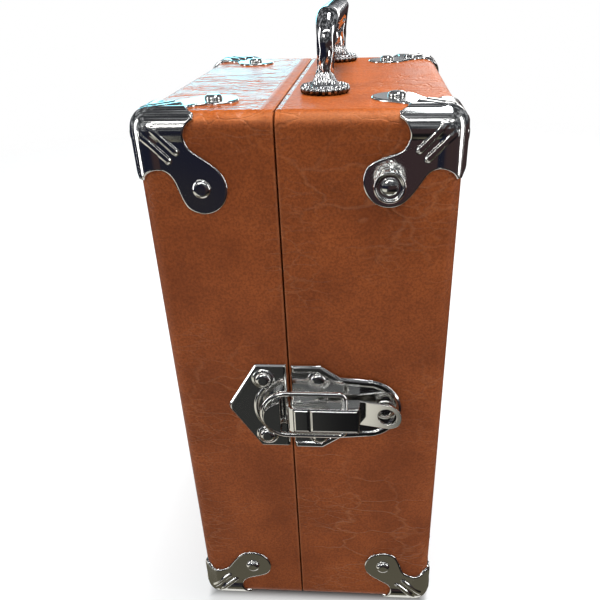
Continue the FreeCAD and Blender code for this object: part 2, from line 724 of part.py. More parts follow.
def hinge_leaf(z, side, spans):
    """One hinge leaf on the back; side is +1 for the base and -1 for the lid."""
    clear = KNUCKLE_R + NOTCH
    low_z = z - HINGE_H / 2
    plate_x = sorted((SEAM_X + side * clear, SEAM_X + side * HINGE_LEAF_W))
    plate = block((plate_x[0], BACK_Y, low_z), (plate_x[1], BACK_Y + HINGE_LEAF_T, low_z + HINGE_H))
    pieces = []
    for low, high in spans:
        axis_point = V(SEAM_X, BACK_Y + HINGE_OUT, z + low)
        pieces.append(rod(axis_point, Z_AXIS, KNUCKLE_R, high - low))
        web = [V(SEAM_X, BACK_Y + HINGE_OUT - KNUCKLE_R, z + low),
               V(SEAM_X + side * 1.0, BACK_Y, z + low),
               V(SEAM_X + side * (clear + 0.4), BACK_Y, z + low),
               V(SEAM_X + side * (clear + 0.4), BACK_Y + HINGE_LEAF_T, z + low),
               V(SEAM_X + side * KNUCKLE_R, BACK_Y + HINGE_OUT, z + low),
               V(SEAM_X, BACK_Y + HINGE_OUT, z + low)]
        pieces.append(Part.Face(polygon(web)).extrude(Z_AXIS * (high - low)))
    bore = rod(V(SEAM_X, BACK_Y + HINGE_OUT, low_z - 1), Z_AXIS, HINGE_PIN_R + HOLE_SLACK, HINGE_H + 2)
    holes = [shank_hole(seat, Y_AXIS) for seat in hinge_screw_seats(z, side)]
    return fused(plate, *pieces).cut([bore] + holes)


def hinge_screw_seats(z, side):
    """Where the two screws of one leaf sit."""
    x = SEAM_X + side * HINGE_SCREW_X
    return [V(x, BACK_Y + HINGE_LEAF_T, z + d) for d in (-HINGE_SCREW_Z, HINGE_SCREW_Z)]


def hinge_leaves(side):
    """Both leaves of one half of the case."""
    half = HINGE_H / 2
    inner = LID_KNUCKLE / 2
    if side < 0:
        spans = [(-inner, inner)]
    else:
        spans = [(-half, -inner - KNUCKLE_GAP), (inner + KNUCKLE_GAP, half)]
    return [hinge_leaf(z, side, spans) for z in hinge_centres()]


def hinge_pins():
    """The two hinge pins with their heads."""
    half = HINGE_H / 2
    tip = half + HINGE_PIN_HEAD_H
    profile = [(0, -tip), (HINGE_PIN_HEAD_R, -tip), (HINGE_PIN_HEAD_R, -half), (HINGE_PIN_R, -half),
               (HINGE_PIN_R, half), (HINGE_PIN_HEAD_R, half), (HINGE_PIN_HEAD_R, tip), (0, tip)]
    return [turned(profile, V(SEAM_X, BACK_Y + HINGE_OUT, z), Z_AXIS) for z in hinge_centres()]


def low_screw(base, axis):
    """A low-headed screw with the same shank as a rivet."""
    profile = [(0, -RIVET_SHANK), (RIVET_SHANK_R, -RIVET_SHANK), (RIVET_SHANK_R, 0), (3.4, 0), (2.6, 1.0),
               (0, 1.2)]
    return turned(profile, base, axis)


# Panel and instruments.

def panel_point(x, p, q):
    """A point at depth X, p along the panel's length and q across it."""
    return V(x, MID_Y + q, MID_Z + p)


def panel_span():
    """Half length and half width of the panel."""
    return (CASE_H / 2 - WALL - PANEL_PLAY, CASE_L / 2 - WALL - PANEL_PLAY)


def panel_screw_spots():
    """Eight screws round the panel's edge."""
    long_half, short_half = panel_span()
    p, q = long_half - CLEAT / 2, short_half - CLEAT / 2
    corners = [(i * p, j * q) for i in (-1, 1) for j in (-1, 1)]
    return corners + [(0, q), (0, -q), (p, 0), (-p, 0)]


def panel():
    """Flat instrument panel with all its cut-outs."""
    long_half, short_half = panel_span()
    plate = rectangle_at(PANEL_X, 0, 0, 2 * long_half, 2 * short_half)
    sheet = Part.Face(plate).extrude(X_AXIS * PANEL_T)
    cuts = [(METER_PQ, METER_CAN_R + 0.4), (TOGGLE_PQ, 6.2), (BUTTON_PQ, TEST_R + 1.4),
            (LAMP_PQ, 5.2), (FUSE_PQ, 6.2), (GLAND_PQ, 6.2)]
    cuts += [(spot, 13.2) for spot in OCTAL_PQ]
    cuts += [(spot, 9.7) for spot in NOVAL_PQ]
    cuts += [(spot, 8.2) for spot in MINIATURE_PQ]
    cuts += [(spot, 4.9) for spot in SELECTOR_PQ]
    cuts += [(spot, PANEL_SCREW_R + HOLE_SLACK) for spot in panel_screw_spots()]
    tools = [rod(panel_point(PANEL_X - 1, p, q), X_AXIS, r, PANEL_T + 2) for (p, q), r in cuts]
    return sheet.cut(tools)


def panel_cleats():
    """Four wooden strips on the case walls that the panel is screwed to, notched for the handle's bolts."""
    low_y, high_y = FRONT_Y + WALL, BACK_Y - WALL
    low_z, high_z = BOTTOM_Z + WALL, TOP_Z - WALL
    near, far = PANEL_BACK_X, PANEL_BACK_X + CLEAT
    strips = [block((near, low_y, low_z), (far, low_y + CLEAT, high_z)),
              block((near, high_y - CLEAT, low_z), (far, high_y, high_z)),
              block((near, low_y + CLEAT, low_z), (far, high_y - CLEAT, low_z + CLEAT)),
              block((near, low_y + CLEAT, high_z - CLEAT), (far, high_y - CLEAT, high_z))]
    drill = PANEL_SCREW_R + HOLE_SLACK
    holes = [rod(panel_point(near, p, q), X_AXIS, drill, 9) for p, q in panel_screw_spots()]
    holes += [rod(foot - Z_AXIS * (WALL + CLEAT / 2), Z_AXIS, 8.0, CLEAT) for foot in handle_feet()]
    return Part.makeCompound([strip.cut(holes) for strip in strips])


def panel_screws():
    """Round-headed screws of the panel."""
    tip = -PANEL_T - 8
    profile = [(0, tip), (PANEL_SCREW_R, tip), (PANEL_SCREW_R, 0), (3.3, 0), (2.8, 1.1), (0, 1.7)]
    return [turned(profile, panel_point(PANEL_X, p, q), X_AXIS * -1) for p, q in panel_screw_spots()]


def meter_case():
    """Moulded meter housing: a bezel with a window over the panel and a round can behind it."""
    p, q = METER_PQ
    front_x = PANEL_X - METER_OUT
    wires = [rectangle_at(PANEL_X, p, q, METER_W, METER_H),
             rectangle_at(front_x + 4, p, q, METER_W, METER_H),
             rectangle_at(front_x, p, q, METER_W - 6, METER_H - 6)]
    bezel = skin(wires)
    can = rod(panel_point(PANEL_X - 1, p, q), X_AXIS, METER_CAN_R, METER_CAN_DEPTH)
    inside_w = METER_W - 2 * METER_WALL - 6
    inside_h = METER_H - 2 * METER_WALL - 6
    room = Part.Face(rectangle_at(front_x + METER_WALL, p, q, inside_w, inside_h)).extrude(
        X_AXIS * (METER_OUT - 2 * METER_WALL))
    opening = Part.Face(rectangle_at(front_x - 1, p, q + WINDOW_Q, WINDOW_W, WINDOW_H)).extrude(
        X_AXIS * (METER_WALL + 2))
    return fused(bezel, can).cut([room, opening])


def meter_dial():
    """The printed scale plate at the back of the meter's window."""
    p, q = METER_PQ
    x = PANEL_X - METER_WALL - 1.0
    plate = Part.Face(rectangle_at(x, p, q, METER_W - 12, METER_H - 12)).extrude(X_AXIS * 1.0)
    return plate.cut(rod(panel_point(x - 1, p, q + METER_PIVOT_Q), X_AXIS, 1.6, 3))


def meter_window():
    """Glass behind the bezel's opening."""
    p, q = METER_PQ
    x = PANEL_X - METER_OUT + METER_WALL
    outline = rectangle_at(x, p, q + WINDOW_Q, WINDOW_W + 2 * WINDOW_LAP, WINDOW_H + 2 * WINDOW_LAP)
    return Part.Face(outline).extrude(X_AXIS * WINDOW_T)


def meter_pointer():
    """A tapered needle with a counterweight on a round hub, at rest on the left of its sweep."""
    p, q = METER_PQ
    x = PANEL_X - METER_WALL - 3.4
    pivot = panel_point(x, p, q + METER_PIVOT_Q)
    needle = Part.Face(polygon([pivot + V(0, -7, -1.4), pivot + V(0, -7, 1.4), pivot + V(0, 0, 1.2),
                                pivot + V(0, METER_POINTER, 0.35), pivot + V(0, METER_POINTER, -0.35),
                                pivot + V(0, 0, -1.2)])).extrude(X_AXIS * -0.6)
    hub = turned([(0, -0.8), (3.4, -0.8), (3.4, 1.4), (1.4, 1.4), (1.4, 3.0), (0, 3.0)], pivot, X_AXIS)
    pointer = needle.fuse(hub)
    pointer.rotate(pivot, X_AXIS, -SWEEP_DEG / 2)
    return pointer


def tube_socket(spot, flange_r, body_r, pins, ring_r, gap_pins):
    """A moulded tube socket: a flange on the panel, a body behind it and a ring of pin holes."""
    base = panel_point(PANEL_X, *spot)
    outward = X_AXIS * -1
    profile = [(0, -14), (body_r - 1, -14), (body_r, -12), (body_r, 0), (flange_r, 0), (flange_r, 1.6),
               (flange_r - 1.2, 2.6), (0, 2.6)]
    socket = turned(profile, base, outward)
    step = 360.0 / (pins + gap_pins)
    tools = []
    for i in range(pins):
        angle = math.radians(-90 + step * (i + 0.5 + gap_pins / 2))
        centre = base + V(3.6, ring_r * math.sin(angle), ring_r * math.cos(angle))
        tools.append(hexagonal(centre - X_AXIS * 10, 0.75 + 0.03 * body_r, 12))
    return socket.cut(tools)


def hexagonal(centre, radius, length):
    """A six-sided bar along +X."""
    corners = []
    for i in range(6):
        angle = math.radians(60 * i)
        corners.append(centre + V(0, radius * math.cos(angle), radius * math.sin(angle)))
    return Part.Face(polygon(corners)).extrude(X_AXIS * length)


def octal_socket(spot):
    """Eight-pin socket with the large middle hole for a tube's locating key."""
    socket = tube_socket(spot, 16.5, 13.0, 8, 8.8, 0)
    return socket.cut(rod(panel_point(PANEL_X - 5, *spot), X_AXIS, KEY_R, KEY_DEPTH + 5 - 2.6))


def selector_switch(spot):
    """Rotary switch behind the panel: threaded bush with its nut, frame and two wafers."""
    base = panel_point(PANEL_X, *spot)
    profile = [(SHAFT_R + HOLE_SLACK, -31), (6, -31), (6, -27), (17, -27), (17, -25), (6, -25), (6, -18),
               (17, -18), (17, -16), (6, -16), (6, -9.5), (14, -9.5), (14, -PANEL_T), (4.7, -PANEL_T),
               (4.7, 0), (6.6, 0), (6.6, 2.0), (4.6, 2.0), (4.6, 2.8), (SHAFT_R + HOLE_SLACK, 2.8)]
    return turned(profile, base, X_AXIS * -1)


def selector_shaft(spot):
    """The switch's shaft, from its last wafer into the knob."""
    return rod(panel_point(PANEL_X + 30.0, *spot), X_AXIS * -1, SHAFT_R, 30.0 + KNOB_LIFT + KNOB_H - 5)


def nose_outline(x, spot, scale):
    """A pointer knob's outline: round about the shaft and drawn out to a nose along +Y."""
    centre = panel_point(x, *spot)
    r = 9.2 * scale
    nose = KNOB_NOSE * scale
    tip = 1.6 * scale
    angle = math.asin((r - tip) / (nose - tip))
    side_y, side_z = r * math.sin(angle), r * math.cos(angle)
    end_y, end_z = nose - tip + tip * math.sin(angle), tip * math.cos(angle)
    a, b = centre + V(0, side_y, side_z), centre + V(0, end_y, end_z)
    c, d = centre + V(0, end_y, -end_z), centre + V(0, side_y, -side_z)
    edges = [line(a, b), arc(b, centre + V(0, nose, 0), c), line(c, d), arc(d, centre + V(0, -r, 0), a)]
    return Part.Wire(edges)


def selector_knob(spot):
    """A pointer knob with a round skirt, bored for the shaft."""
    foot = PANEL_X - KNOB_LIFT
    skirt = turned([(0, 0), (KNOB_R, 0), (KNOB_R, 2.5), (KNOB_R - 2, 4.5), (0, 4.5)],
                   panel_point(foot, *spot), X_AXIS * -1)
    bar = skin([nose_outline(foot - 2, spot, 1.0), nose_outline(foot - KNOB_H, spot, 0.82)])
    bore = rod(panel_point(foot + 1, *spot), X_AXIS * -1, SHAFT_R + HOLE_SLACK, KNOB_H - 5 + 1.2)
    return skirt.fuse(bar).cut(bore)


def toggle_body():
    """Toggle switch: box behind the panel, threaded bush and nut in front."""
    p, q = TOGGLE_PQ
    box = Part.Face(rectangle_at(PANEL_BACK_X, p, q, 26, 14)).extrude(X_AXIS * 22)
    bush = turned([(0, -PANEL_T - 1), (6, -PANEL_T - 1), (6, 0), (8.4, 0), (8.4, 2.4), (5.4, 2.4),
                   (5.4, TOGGLE_BUSH), (0, TOGGLE_BUSH)], panel_point(PANEL_X, p, q), X_AXIS * -1)
    well = rod(panel_point(PANEL_X - TOGGLE_BUSH - 1, p, q), X_AXIS, 3.6, 6.0)
    pin_hole = rod(toggle_pivot() - Y_AXIS * 8, Y_AXIS, TOGGLE_PIN_R + HOLE_SLACK, 16)
    return box.fuse(bush).cut([well, pin_hole])


def toggle_pivot():
    """Where the bat turns, just inside the mouth of the bush."""
    return panel_point(PANEL_X - TOGGLE_BUSH + TOGGLE_SUNK, *TOGGLE_PQ)


def toggle_bat():
    """The switch's bat lever on a ball and cross pin, thrown to one side at rest."""
    pivot = toggle_pivot()
    bat = turned([(0, -2.6), (1.8, -2.4), (2.8, -0.6), (2.6, 0.8), (1.7, 2.2), (2.9, TOGGLE_BAT - 3),
                  (2.4, TOGGLE_BAT - 0.8), (0, TOGGLE_BAT)], pivot, X_AXIS * -1)
    bat.rotate(pivot, Y_AXIS, -TOGGLE_TILT)
    return bat.fuse(rod(pivot - Y_AXIS * 5, Y_AXIS, TOGGLE_PIN_R, 10))


def test_bezel():
    """Threaded ring that guides the test button."""
    profile = [(TEST_R + 0.08, -12), (TEST_R + 1.2, -12), (TEST_R + 1.2, 0), (9.0, 0), (9.0, 2.0), (7.0, 4.0),
               (TEST_R + 0.08, 4.0)]
    return turned(profile, panel_point(PANEL_X, *BUTTON_PQ), X_AXIS * -1)


def test_button():
    """A round plunger with a shallow dished top; its travel ends above the bezel."""
    profile = [(0, -10), (TEST_R, -10), (TEST_R, 8.0), (TEST_R - 0.8, 8.8), (2.4, 8.6), (0, 8.3)]
    return turned(profile, panel_point(PANEL_X, *BUTTON_PQ), X_AXIS * -1)


def lamp_bezel():
    """Metal holder of the pilot lamp."""
    profile = [(3.2, -18), (5.0, -18), (5.0, 0), (8.0, 0), (8.0, 2.0), (6.6, 5.0), (5.3, 5.0), (5.3, 2.0),
               (3.2, 2.0)]
    return turned(profile, panel_point(PANEL_X, *LAMP_PQ), X_AXIS * -1)


def lamp_lens():
    """Domed jewel of the pilot lamp."""
    profile = [(0, 2.0), (5.2, 2.0), (5.2, 6.0), (4.2, 8.4), (2.2, 10.0), (0, 10.6)]
    return turned(profile, panel_point(PANEL_X, *LAMP_PQ), X_AXIS * -1)


def fuse_holder():
    """Panel fuse holder with its screw cap."""
    profile = [(0, -34), (5.6, -34), (5.6, -PANEL_T), (6.0, -PANEL_T), (6.0, 0), (9.0, 0), (9.0, 2.0),
               (7.4, 2.6), (7.0, 11.0), (6.2, 12.0), (0, 12.0)]
    return turned(profile, panel_point(PANEL_X, *FUSE_PQ), X_AXIS * -1)


def mains_gland():
    """Grommet for the mains lead."""
    profile = [(GLAND_BORE_R, -5), (8.2, -5), (8.2, -PANEL_T), (6.0, -PANEL_T), (6.0, 0), (8.6, 0), (8.6, 2.0),
               (7.2, 3.4), (GLAND_BORE_R, 3.4)]
    return turned(profile, panel_point(PANEL_X, *GLAND_PQ), X_AXIS * -1)


# Works behind the panel.

CORE_PQ = (100.0, 44.0)
CORE_SIZE = (60.0, 50.0)
CORE_DEPTH = 34.0
COIL_LEG = 20.0
COIL_BUILD = 8.0


def transformer_core():
    """Laminated core: two window openings beside a middle leg."""
    p, q = CORE_PQ
    width, height = CORE_SIZE
    x = BASE_FLOOR_X - CORE_DEPTH
    core = Part.Face(rectangle_at(x, p, q, width, height)).extrude(X_AXIS * CORE_DEPTH)
    offset = COIL_LEG / 2 + COIL_BUILD / 2
    windows = [Part.Face(rectangle_at(x - 1, p + side * offset, q, COIL_BUILD, height - COIL_LEG)).extrude(
        X_AXIS * (CORE_DEPTH + 2)) for side in (-1, 1)]
    return core.cut(windows)


def transformer_coil():
    """Winding round the core's middle leg, standing proud of the stack on its front."""
    p, q = CORE_PQ
    height = CORE_SIZE[1] - COIL_LEG - 1
    width = COIL_LEG + 2 * COIL_BUILD - 1
    x = BASE_FLOOR_X - CORE_DEPTH
    winding = Part.Face(rectangle_at(x - COIL_BUILD, p, q, width, height))
    outer = winding.extrude(X_AXIS * (CORE_DEPTH + COIL_BUILD))
    leg = Part.Face(rectangle_at(x, p, q, COIL_LEG, height + 2)).extrude(X_AXIS * CORE_DEPTH)
    return outer.cut(leg)


def component_board():
    """Tag board on spacers at the case's back, with its capacitor and resistors."""
    p, q = (-92.0, 30.0)
    x = BASE_FLOOR_X - 12
    board = Part.Face(rectangle_at(x, p, q, 110, 80)).extrude(X_AXIS * 2)
    spots = [(p + i * 48, q + j * 34) for i in (-1, 1) for j in (-1, 1)]
    spacers = [rod(panel_point(x + 1, *spot), X_AXIS, 4, 11) for spot in spots]
    can = rod(panel_point(x - 7, p + 10, q - 30), Z_AXIS, 8, 38)
    resistors = [rod(panel_point(x - 2, p - 45 + 16 * i, q + 4), Y_AXIS, 3, 22) for i in range(6)]
    return fused(board, can, *(spacers + resistors))


# Build the pieces and write one file per node.

def write_case():
    """The two covered halves, drilled for everything that is riveted or screwed to them."""
    holes = {"base": [], "lid": []}
    for name, point, inward in case_corners():
        for _, seat, axis in corner_seats(point, inward):
            holes[name.split("_")[0]].append(shank_hole(seat, axis))
    out = Y_AXIS * -1
    holes["lid"] += [shank_hole(latch_rivet_seat(s, z), out) for s, z in CATCH_RIVETS]
    holes["base"] += [shank_hole(latch_rivet_seat(s, z), out) for s, z in PLATE_RIVETS]
    for name, side in (("base", 1), ("lid", -1)):
        for z in hinge_centres():
            holes[name] += [shank_hole(seat, Y_AXIS) for seat in hinge_screw_seats(z, side)]
    drill = HANDLE_BOLT_R + HOLE_SLACK
    holes["base"] += [rod(foot - Z_AXIS * (WALL + 1), Z_AXIS, drill, WALL + 2) for foot in handle_feet()]
    halves = {"base": case_half(BASE_RIM_X, BASE_RIM_X + COVER_T, BASE_X + 1, BASE_FLOOR_X),
              "lid": case_half(LID_RIM_X, LID_RIM_X - COVER_T, LID_X - 1, LID_X + WALL)}
    for name, (wood, covering) in halves.items():
        save(name + "_box", wood.cut(holes[name]))
        save(name + "_covering", covering.cut(holes[name]))


def case_corners():
    """Name, position and inward direction of the eight corners."""
    corners = []
    for half, x, dx in (("lid", LID_X, 1), ("base", BASE_X, -1)):
        for level, z, dz in (("top", TOP_Z, -1), ("bottom", BOTTOM_Z, 1)):
            for face, y, dy in (("front", FRONT_Y, 1), ("back", BACK_Y, -1)):
                corners.append(("_".join((half, level, face)), V(x, y, z), (dx, dy, dz)))
    return corners


def corner_seats(point, inward):
    """The rivet seat on each face of a corner: face number, place and outward axis."""
    axes = (X_AXIS, Y_AXIS, Z_AXIS)
    lobe = ear_lobe(math.prod(inward))
    seats = []
    for k in range(3):
        seat = V(point)
        for other in range(3):
            shift = {k: -CORNER_T, (k + 1) % 3: lobe[0], (k + 2) % 3: lobe[1]}[other]
            seat = seat + axes[other] * (inward[other] * shift)
        seats.append((k, seat, axes[k] * -inward[k]))
    return seats


def write_corners():
    """Eight corner plates, the strap button in place of one rivet, and all rivets of each half."""
    plates = {hand: corner_plate(hand) for hand in (1, -1)}
    rivets = {"base": [], "lid": []}
    for name, point, inward in case_corners():
        save("corner_" + name, at_corner(plates[math.prod(inward)], point, inward))
        for face, seat, axis in corner_seats(point, inward):
            if name == "base_top_front" and face == 1:
                save("strap_button", strap_button(seat, axis))
            else:
                rivets[name.split("_")[0]].append(rivet(seat, axis))
    out = Y_AXIS * -1
    for half, seats in (("lid", CATCH_RIVETS), ("base", PLATE_RIVETS)):
        solids = rivets[half] + [rivet(latch_rivet_seat(s, z), out) for s, z in seats]
        save(half + "_rivets", Part.makeCompound(solids))


def write_handle_and_latch():
    """Handle, its bolts and the drawbolt."""
    save("handle", handle())
    save("handle_bolts", handle_bolts())
    save("latch_plate", latch_plate())
    save("latch_lever", latch_lever())
    save("latch_bail", latch_bail())
    save("latch_pin", latch_pin())
    save("latch_catch", latch_catch())


def write_hinges():
    """Leaves, pins and screws of both hinges."""
    save("hinge_pins", Part.makeCompound(hinge_pins()))
    for name, side in (("base", 1), ("lid", -1)):
        save("hinge_" + name + "_leaves", Part.makeCompound(hinge_leaves(side)))
        seats = [seat for z in hinge_centres() for seat in hinge_screw_seats(z, side)]
        save("hinge_" + name + "_screws", Part.makeCompound([low_screw(seat, Y_AXIS) for seat in seats]))


def write_panel():
    """The instrument panel with everything that is fixed to it."""
    save("panel", panel())
    save("panel_cleats", panel_cleats())
    save("panel_screws", Part.makeCompound(panel_screws()))
    save("meter_case", meter_case())
    save("meter_dial", meter_dial())
    save("meter_pointer", meter_pointer())
    save("meter_window", meter_window())
    for i, spot in enumerate(OCTAL_PQ, 1):
        save("octal_socket_%d" % i, octal_socket(spot))
    nine_pin = [tube_socket(spot, 12.5, 9.5, 9, 5.9, 1) for spot in NOVAL_PQ]
    seven_pin = [tube_socket(spot, 11.0, 8.0, 7, 4.8, 1) for spot in MINIATURE_PQ]
    save("noval_sockets", Part.makeCompound(nine_pin))
    save("miniature_sockets", Part.makeCompound(seven_pin))
    for i, spot in enumerate(SELECTOR_PQ, 1):
        save("selector_knob_%d" % i, selector_knob(spot))
        save("selector_shaft_%d" % i, selector_shaft(spot))
    save("selector_switches", Part.makeCompound([selector_switch(spot) for spot in SELECTOR_PQ]))
    save("power_switch_body", toggle_body())
    save("power_switch_bat", toggle_bat())
    save("test_button", test_button())
    save("test_button_bezel", test_bezel())
    save("pilot_lamp_bezel", lamp_bezel())
    save("pilot_lamp_lens", lamp_lens())
    save("fuse_holder", fuse_holder())
    save("mains_gland", mains_gland())
    save("transformer_core", transformer_core())
    save("transformer_coil", transformer_coil())
    save("component_board", component_board())


os.makedirs("parts", exist_ok=True)
write_case()
write_corners()
write_handle_and_latch()
write_hinges()
write_panel()
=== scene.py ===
import json
import math
from contextlib import contextmanager
from functools import reduce
from types import SimpleNamespace

import bmesh
import bpy
import numpy as np
from bpy.props import FloatProperty, FloatVectorProperty, PointerProperty
from bpy.types import Operator, Panel, PropertyGroup
from mathutils import Matrix, Vector


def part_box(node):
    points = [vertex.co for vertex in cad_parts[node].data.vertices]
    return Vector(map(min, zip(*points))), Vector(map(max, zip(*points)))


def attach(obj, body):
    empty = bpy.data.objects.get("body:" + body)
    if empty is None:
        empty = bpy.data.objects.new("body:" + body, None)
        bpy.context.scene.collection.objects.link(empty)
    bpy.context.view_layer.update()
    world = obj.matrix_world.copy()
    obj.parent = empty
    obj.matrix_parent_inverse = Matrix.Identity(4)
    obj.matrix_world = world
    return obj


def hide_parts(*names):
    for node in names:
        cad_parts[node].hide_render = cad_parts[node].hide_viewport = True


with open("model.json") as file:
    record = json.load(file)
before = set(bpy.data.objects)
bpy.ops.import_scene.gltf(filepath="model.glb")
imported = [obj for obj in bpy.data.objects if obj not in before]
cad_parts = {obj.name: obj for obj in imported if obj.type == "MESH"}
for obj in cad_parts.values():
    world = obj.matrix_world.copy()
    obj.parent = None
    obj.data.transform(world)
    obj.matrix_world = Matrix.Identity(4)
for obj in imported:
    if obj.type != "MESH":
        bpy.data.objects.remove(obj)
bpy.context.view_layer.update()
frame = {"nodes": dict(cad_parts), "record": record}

bl_info = {
    "name": "Tube tester looks",
    "version": (1, 0, 0),
    "blender": (4, 5, 0),
    "location": "3D View > Sidebar > Tube tester",
    "description": "Finishes of a portable tube tester in a leatherette case",
    "category": "Object",
}

MM = 0.001
RECORD = frame["record"]
BODY_OF = {node: body for body, nodes in RECORD["behaviour"]["bodies"].items() for node in nodes}


def box_mm(node):
    """Lowest and highest corner of a CAD node in millimetres."""
    return np.array(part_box(node)) / MM


# Places on the case in millimetres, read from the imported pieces.
LID_BOX, BASE_BOX = box_mm("lid_covering"), box_mm("base_covering")
CASE_LOW = np.minimum(LID_BOX[0], BASE_BOX[0])
CASE_HIGH = np.maximum(LID_BOX[1], BASE_BOX[1])
SEAM_X = (LID_BOX[1, 0] + BASE_BOX[0, 0]) / 2
LATCH_Z = box_mm("latch_lever")[:, 2].mean()
PANEL_FACE = box_mm("panel")[0, 0]
KNOBS = ["selector_knob_%d" % i for i in (1, 2, 3, 4)]
KNOB_AT = np.array([box_mm(node.replace("knob", "shaft")).mean(0) for node in KNOBS])

# Print on the panel and the dial: millimetres and degrees.
KNOB_STEP, KNOB_END = 30, 150
TICK_IN, TICK_OUT = 25.2, 29.0
NUMBER_RING, NUMBER_TALL = 32.0, 4.4
SWITCH_WORDS = {"OFF": -15.0, "ON": 15.0}
WORD_TALL = 4.6
INK_LIFT = 0.06
SCALE_RADIUS, SCALE_GAP, SCALE_STEP = 39.0, 7.2, 20
# Marks in half of the sweep, fade across a mark, length of a mark.
SCALE_TICKS = ((5, (0.4, 0.2), 4.0), (25, (0.25, 0.12), 2.0))

# Pressed corner plates: millimetres, degrees and rows of the grid.
SEAM_ROWS, BITE_ROWS, FLANK_ROWS, LOBE_ROWS = 24, 22, 12, 24
BITE_END, LOBE_START, LOBE_MIDDLE = 125.0, -32.0, 45.0
FLANK_PULL = 5.0
RIB_MIDDLE, RIB_HALF, RIB_OFF, RIB_FOOT, RIB_FLANK = 19.0, 8.0, 2.9, 1.9, 1.0
EDGE_RISE = 0.2
EAR_MIDDLE = np.array((12.0, 12.0))
EAR_RINGS, UNDER_RINGS = 64, 7
RIM_STEPS = np.array((0.0, 0.07, 0.17, 0.3, 0.46, 0.66, 0.95, 1.4, 2.1))

# Latch rivets of each half: distance from the seam and height over the lever's middle.
LATCH_RIVETS = {"lid": ((-15.0, 20.2), (-15.0, -20.2)),
                "base": ((17.4, 20.2), (17.4, -20.2), (56.7, 0.0))}
LATCH_DIMPLE = 2.4

# Rows of turned pieces: inset from the full radius, height (the button's head: depth), bead lift.
BUTTON_STEM = ((1.6, -0.2, 0), (1.6, 1.5, 0), (1.0, 2.1, 0), (0.7, 2.6, 0), (0.7, 3.4, 0))
BUTTON_HEAD = ((0.9, 5.6, 0), (1.3, 5.0, 0.6), (1.4, 4.2, 1.3), (1.2, 3.4, 1.6), (1.3, 2.7, 1.2),
               (1.3, 2.1, 0.5), (0.9, 1.7, 0), (0.2, 1.3, 0), (0.0, 0.9, 0), (0.3, 0.4, 0),
               (0.9, 0.2, 0), (1.5, 0.5, 0), (1.8, 1.4, 0), (2.6, 1.6, 0), (3.4, 1.6, 0),
               (3.8, 1.2, 0), (4.6, 0.6, 0), (5.8, 0.2, 0), (6.8, 0.0, 0))
BUTTON_BEADS, BUTTON_BEAD_ROWS = 16, 12
FOOT_ROWS = ((2.7, 0.0, 0), (2.4, 0.5, 1.2), (2.1, 1.7, 2.0), (2.4, 2.8, 1.9), (3.1, 3.2, 1.2),
             (3.9, 3.1, 0.4), (4.7, 2.9, 0), (5.6, 3.2, 0.3), (6.5, 3.8, 0.5), (7.3, 4.8, 0.6),
             (8.0, 6.2, 0.5), (8.6, 7.8, 0.4), (9.0, 9.4, 0.2), (9.4, 10.6, 0), (9.8, 11.4, 0))
FOOT_BEADS, FOOT_BEAD_ROWS = 24, 14

# Handle: rows of the grid along a post, a bend and half the grip; widths at some of the rows.
POST_ROWS, BEND_ROWS, GRIP_ROWS, ROUND_ROWS = 60, 29, 25, 96
WIDTH_AT = (0, 25, 60, 74, 90, 113)
POST_WIDE = (8.4, 8.5, 9.4, 11.4, 12.8)
POST_THICK = (8.4, 8.4, 8.2, 9.4)
WIDTH_MEAN = 15
HANDLE_LEAN = 1.5
POST_START = 2.0
LEAF_DEPTH, LEAF_END, LEAF_FADE = 0.05, 28.0, 12.0

# Copies of CAD nodes: softened edges in millimetres, angles, and the distance of merged points.
LATCH_BEVEL, METER_BEVEL, KNOB_BEVEL = 0.34, 0.4, 0.3
CREASE, FLAT, RIVET_CREASE = [math.radians(degrees) for degrees in (32.0, 0.6, 50.0)]
MERGE = 2e-6

# Studio lights in metres: size, place, aim and tint.
WHITE = (1.0, 1.0, 1.0)
LIGHTS = {
    "window": ((0.75, 0.32), (-0.46, 1.5, 0.55), (-0.05, 0.0, 0.34), (0.32, 0.84, 1.0)),
    "key": ((0.5, 0.16), (-0.7, -1.5, 1.0), (0.0, 0.0, 0.17), (1.0, 0.98, 0.95)),
    "strip": ((1.3, 0.08), (0.0, -0.95, 1.1), (0.0, 0.0, 0.25), WHITE),
    "top": ((1.2, 0.9), (0.1, 0.45, 2.5), (0.0, 0.1, 0.3), WHITE),
    "bar": ((1.1, 0.4), (0.4, 0.15, 2.4), (0.0, 0.1, 0.3), (0.94, 0.97, 1.0)),
    "rear": ((0.6, 0.3), (0.42, 1.5, 0.6), (0.05, 0.0, 0.34), (1.0, 0.98, 0.96)),
}
SIDE_LIGHT = ((0.22, 0.9), (1.0, -0.25, 0.5), (0.0, 0.0, 0.35), WHITE)
FLOOR_RINGS, FLOOR_SPOKES = 40, 96

# Camera: degrees down, to the left and rolled; metres; shift in parts of the picture.
CAMERA_TURN = (32.34, -4.58, -1.47)
CAMERA_AT = (0.0375, -0.3184, 0.3958)
CAMERA_SHIFT = (-27.3 / 600, 80.0 / 600)


# Shader maths.

def operation(name, swapped=False):
    """A method of Value that adds one Math node."""
    def method(self, *others):
        terms = (*others, self) if swapped else (self, *others)
        return self.tree.make("ShaderNodeMath", {"operation": name}, dict(enumerate(terms)))
    return method


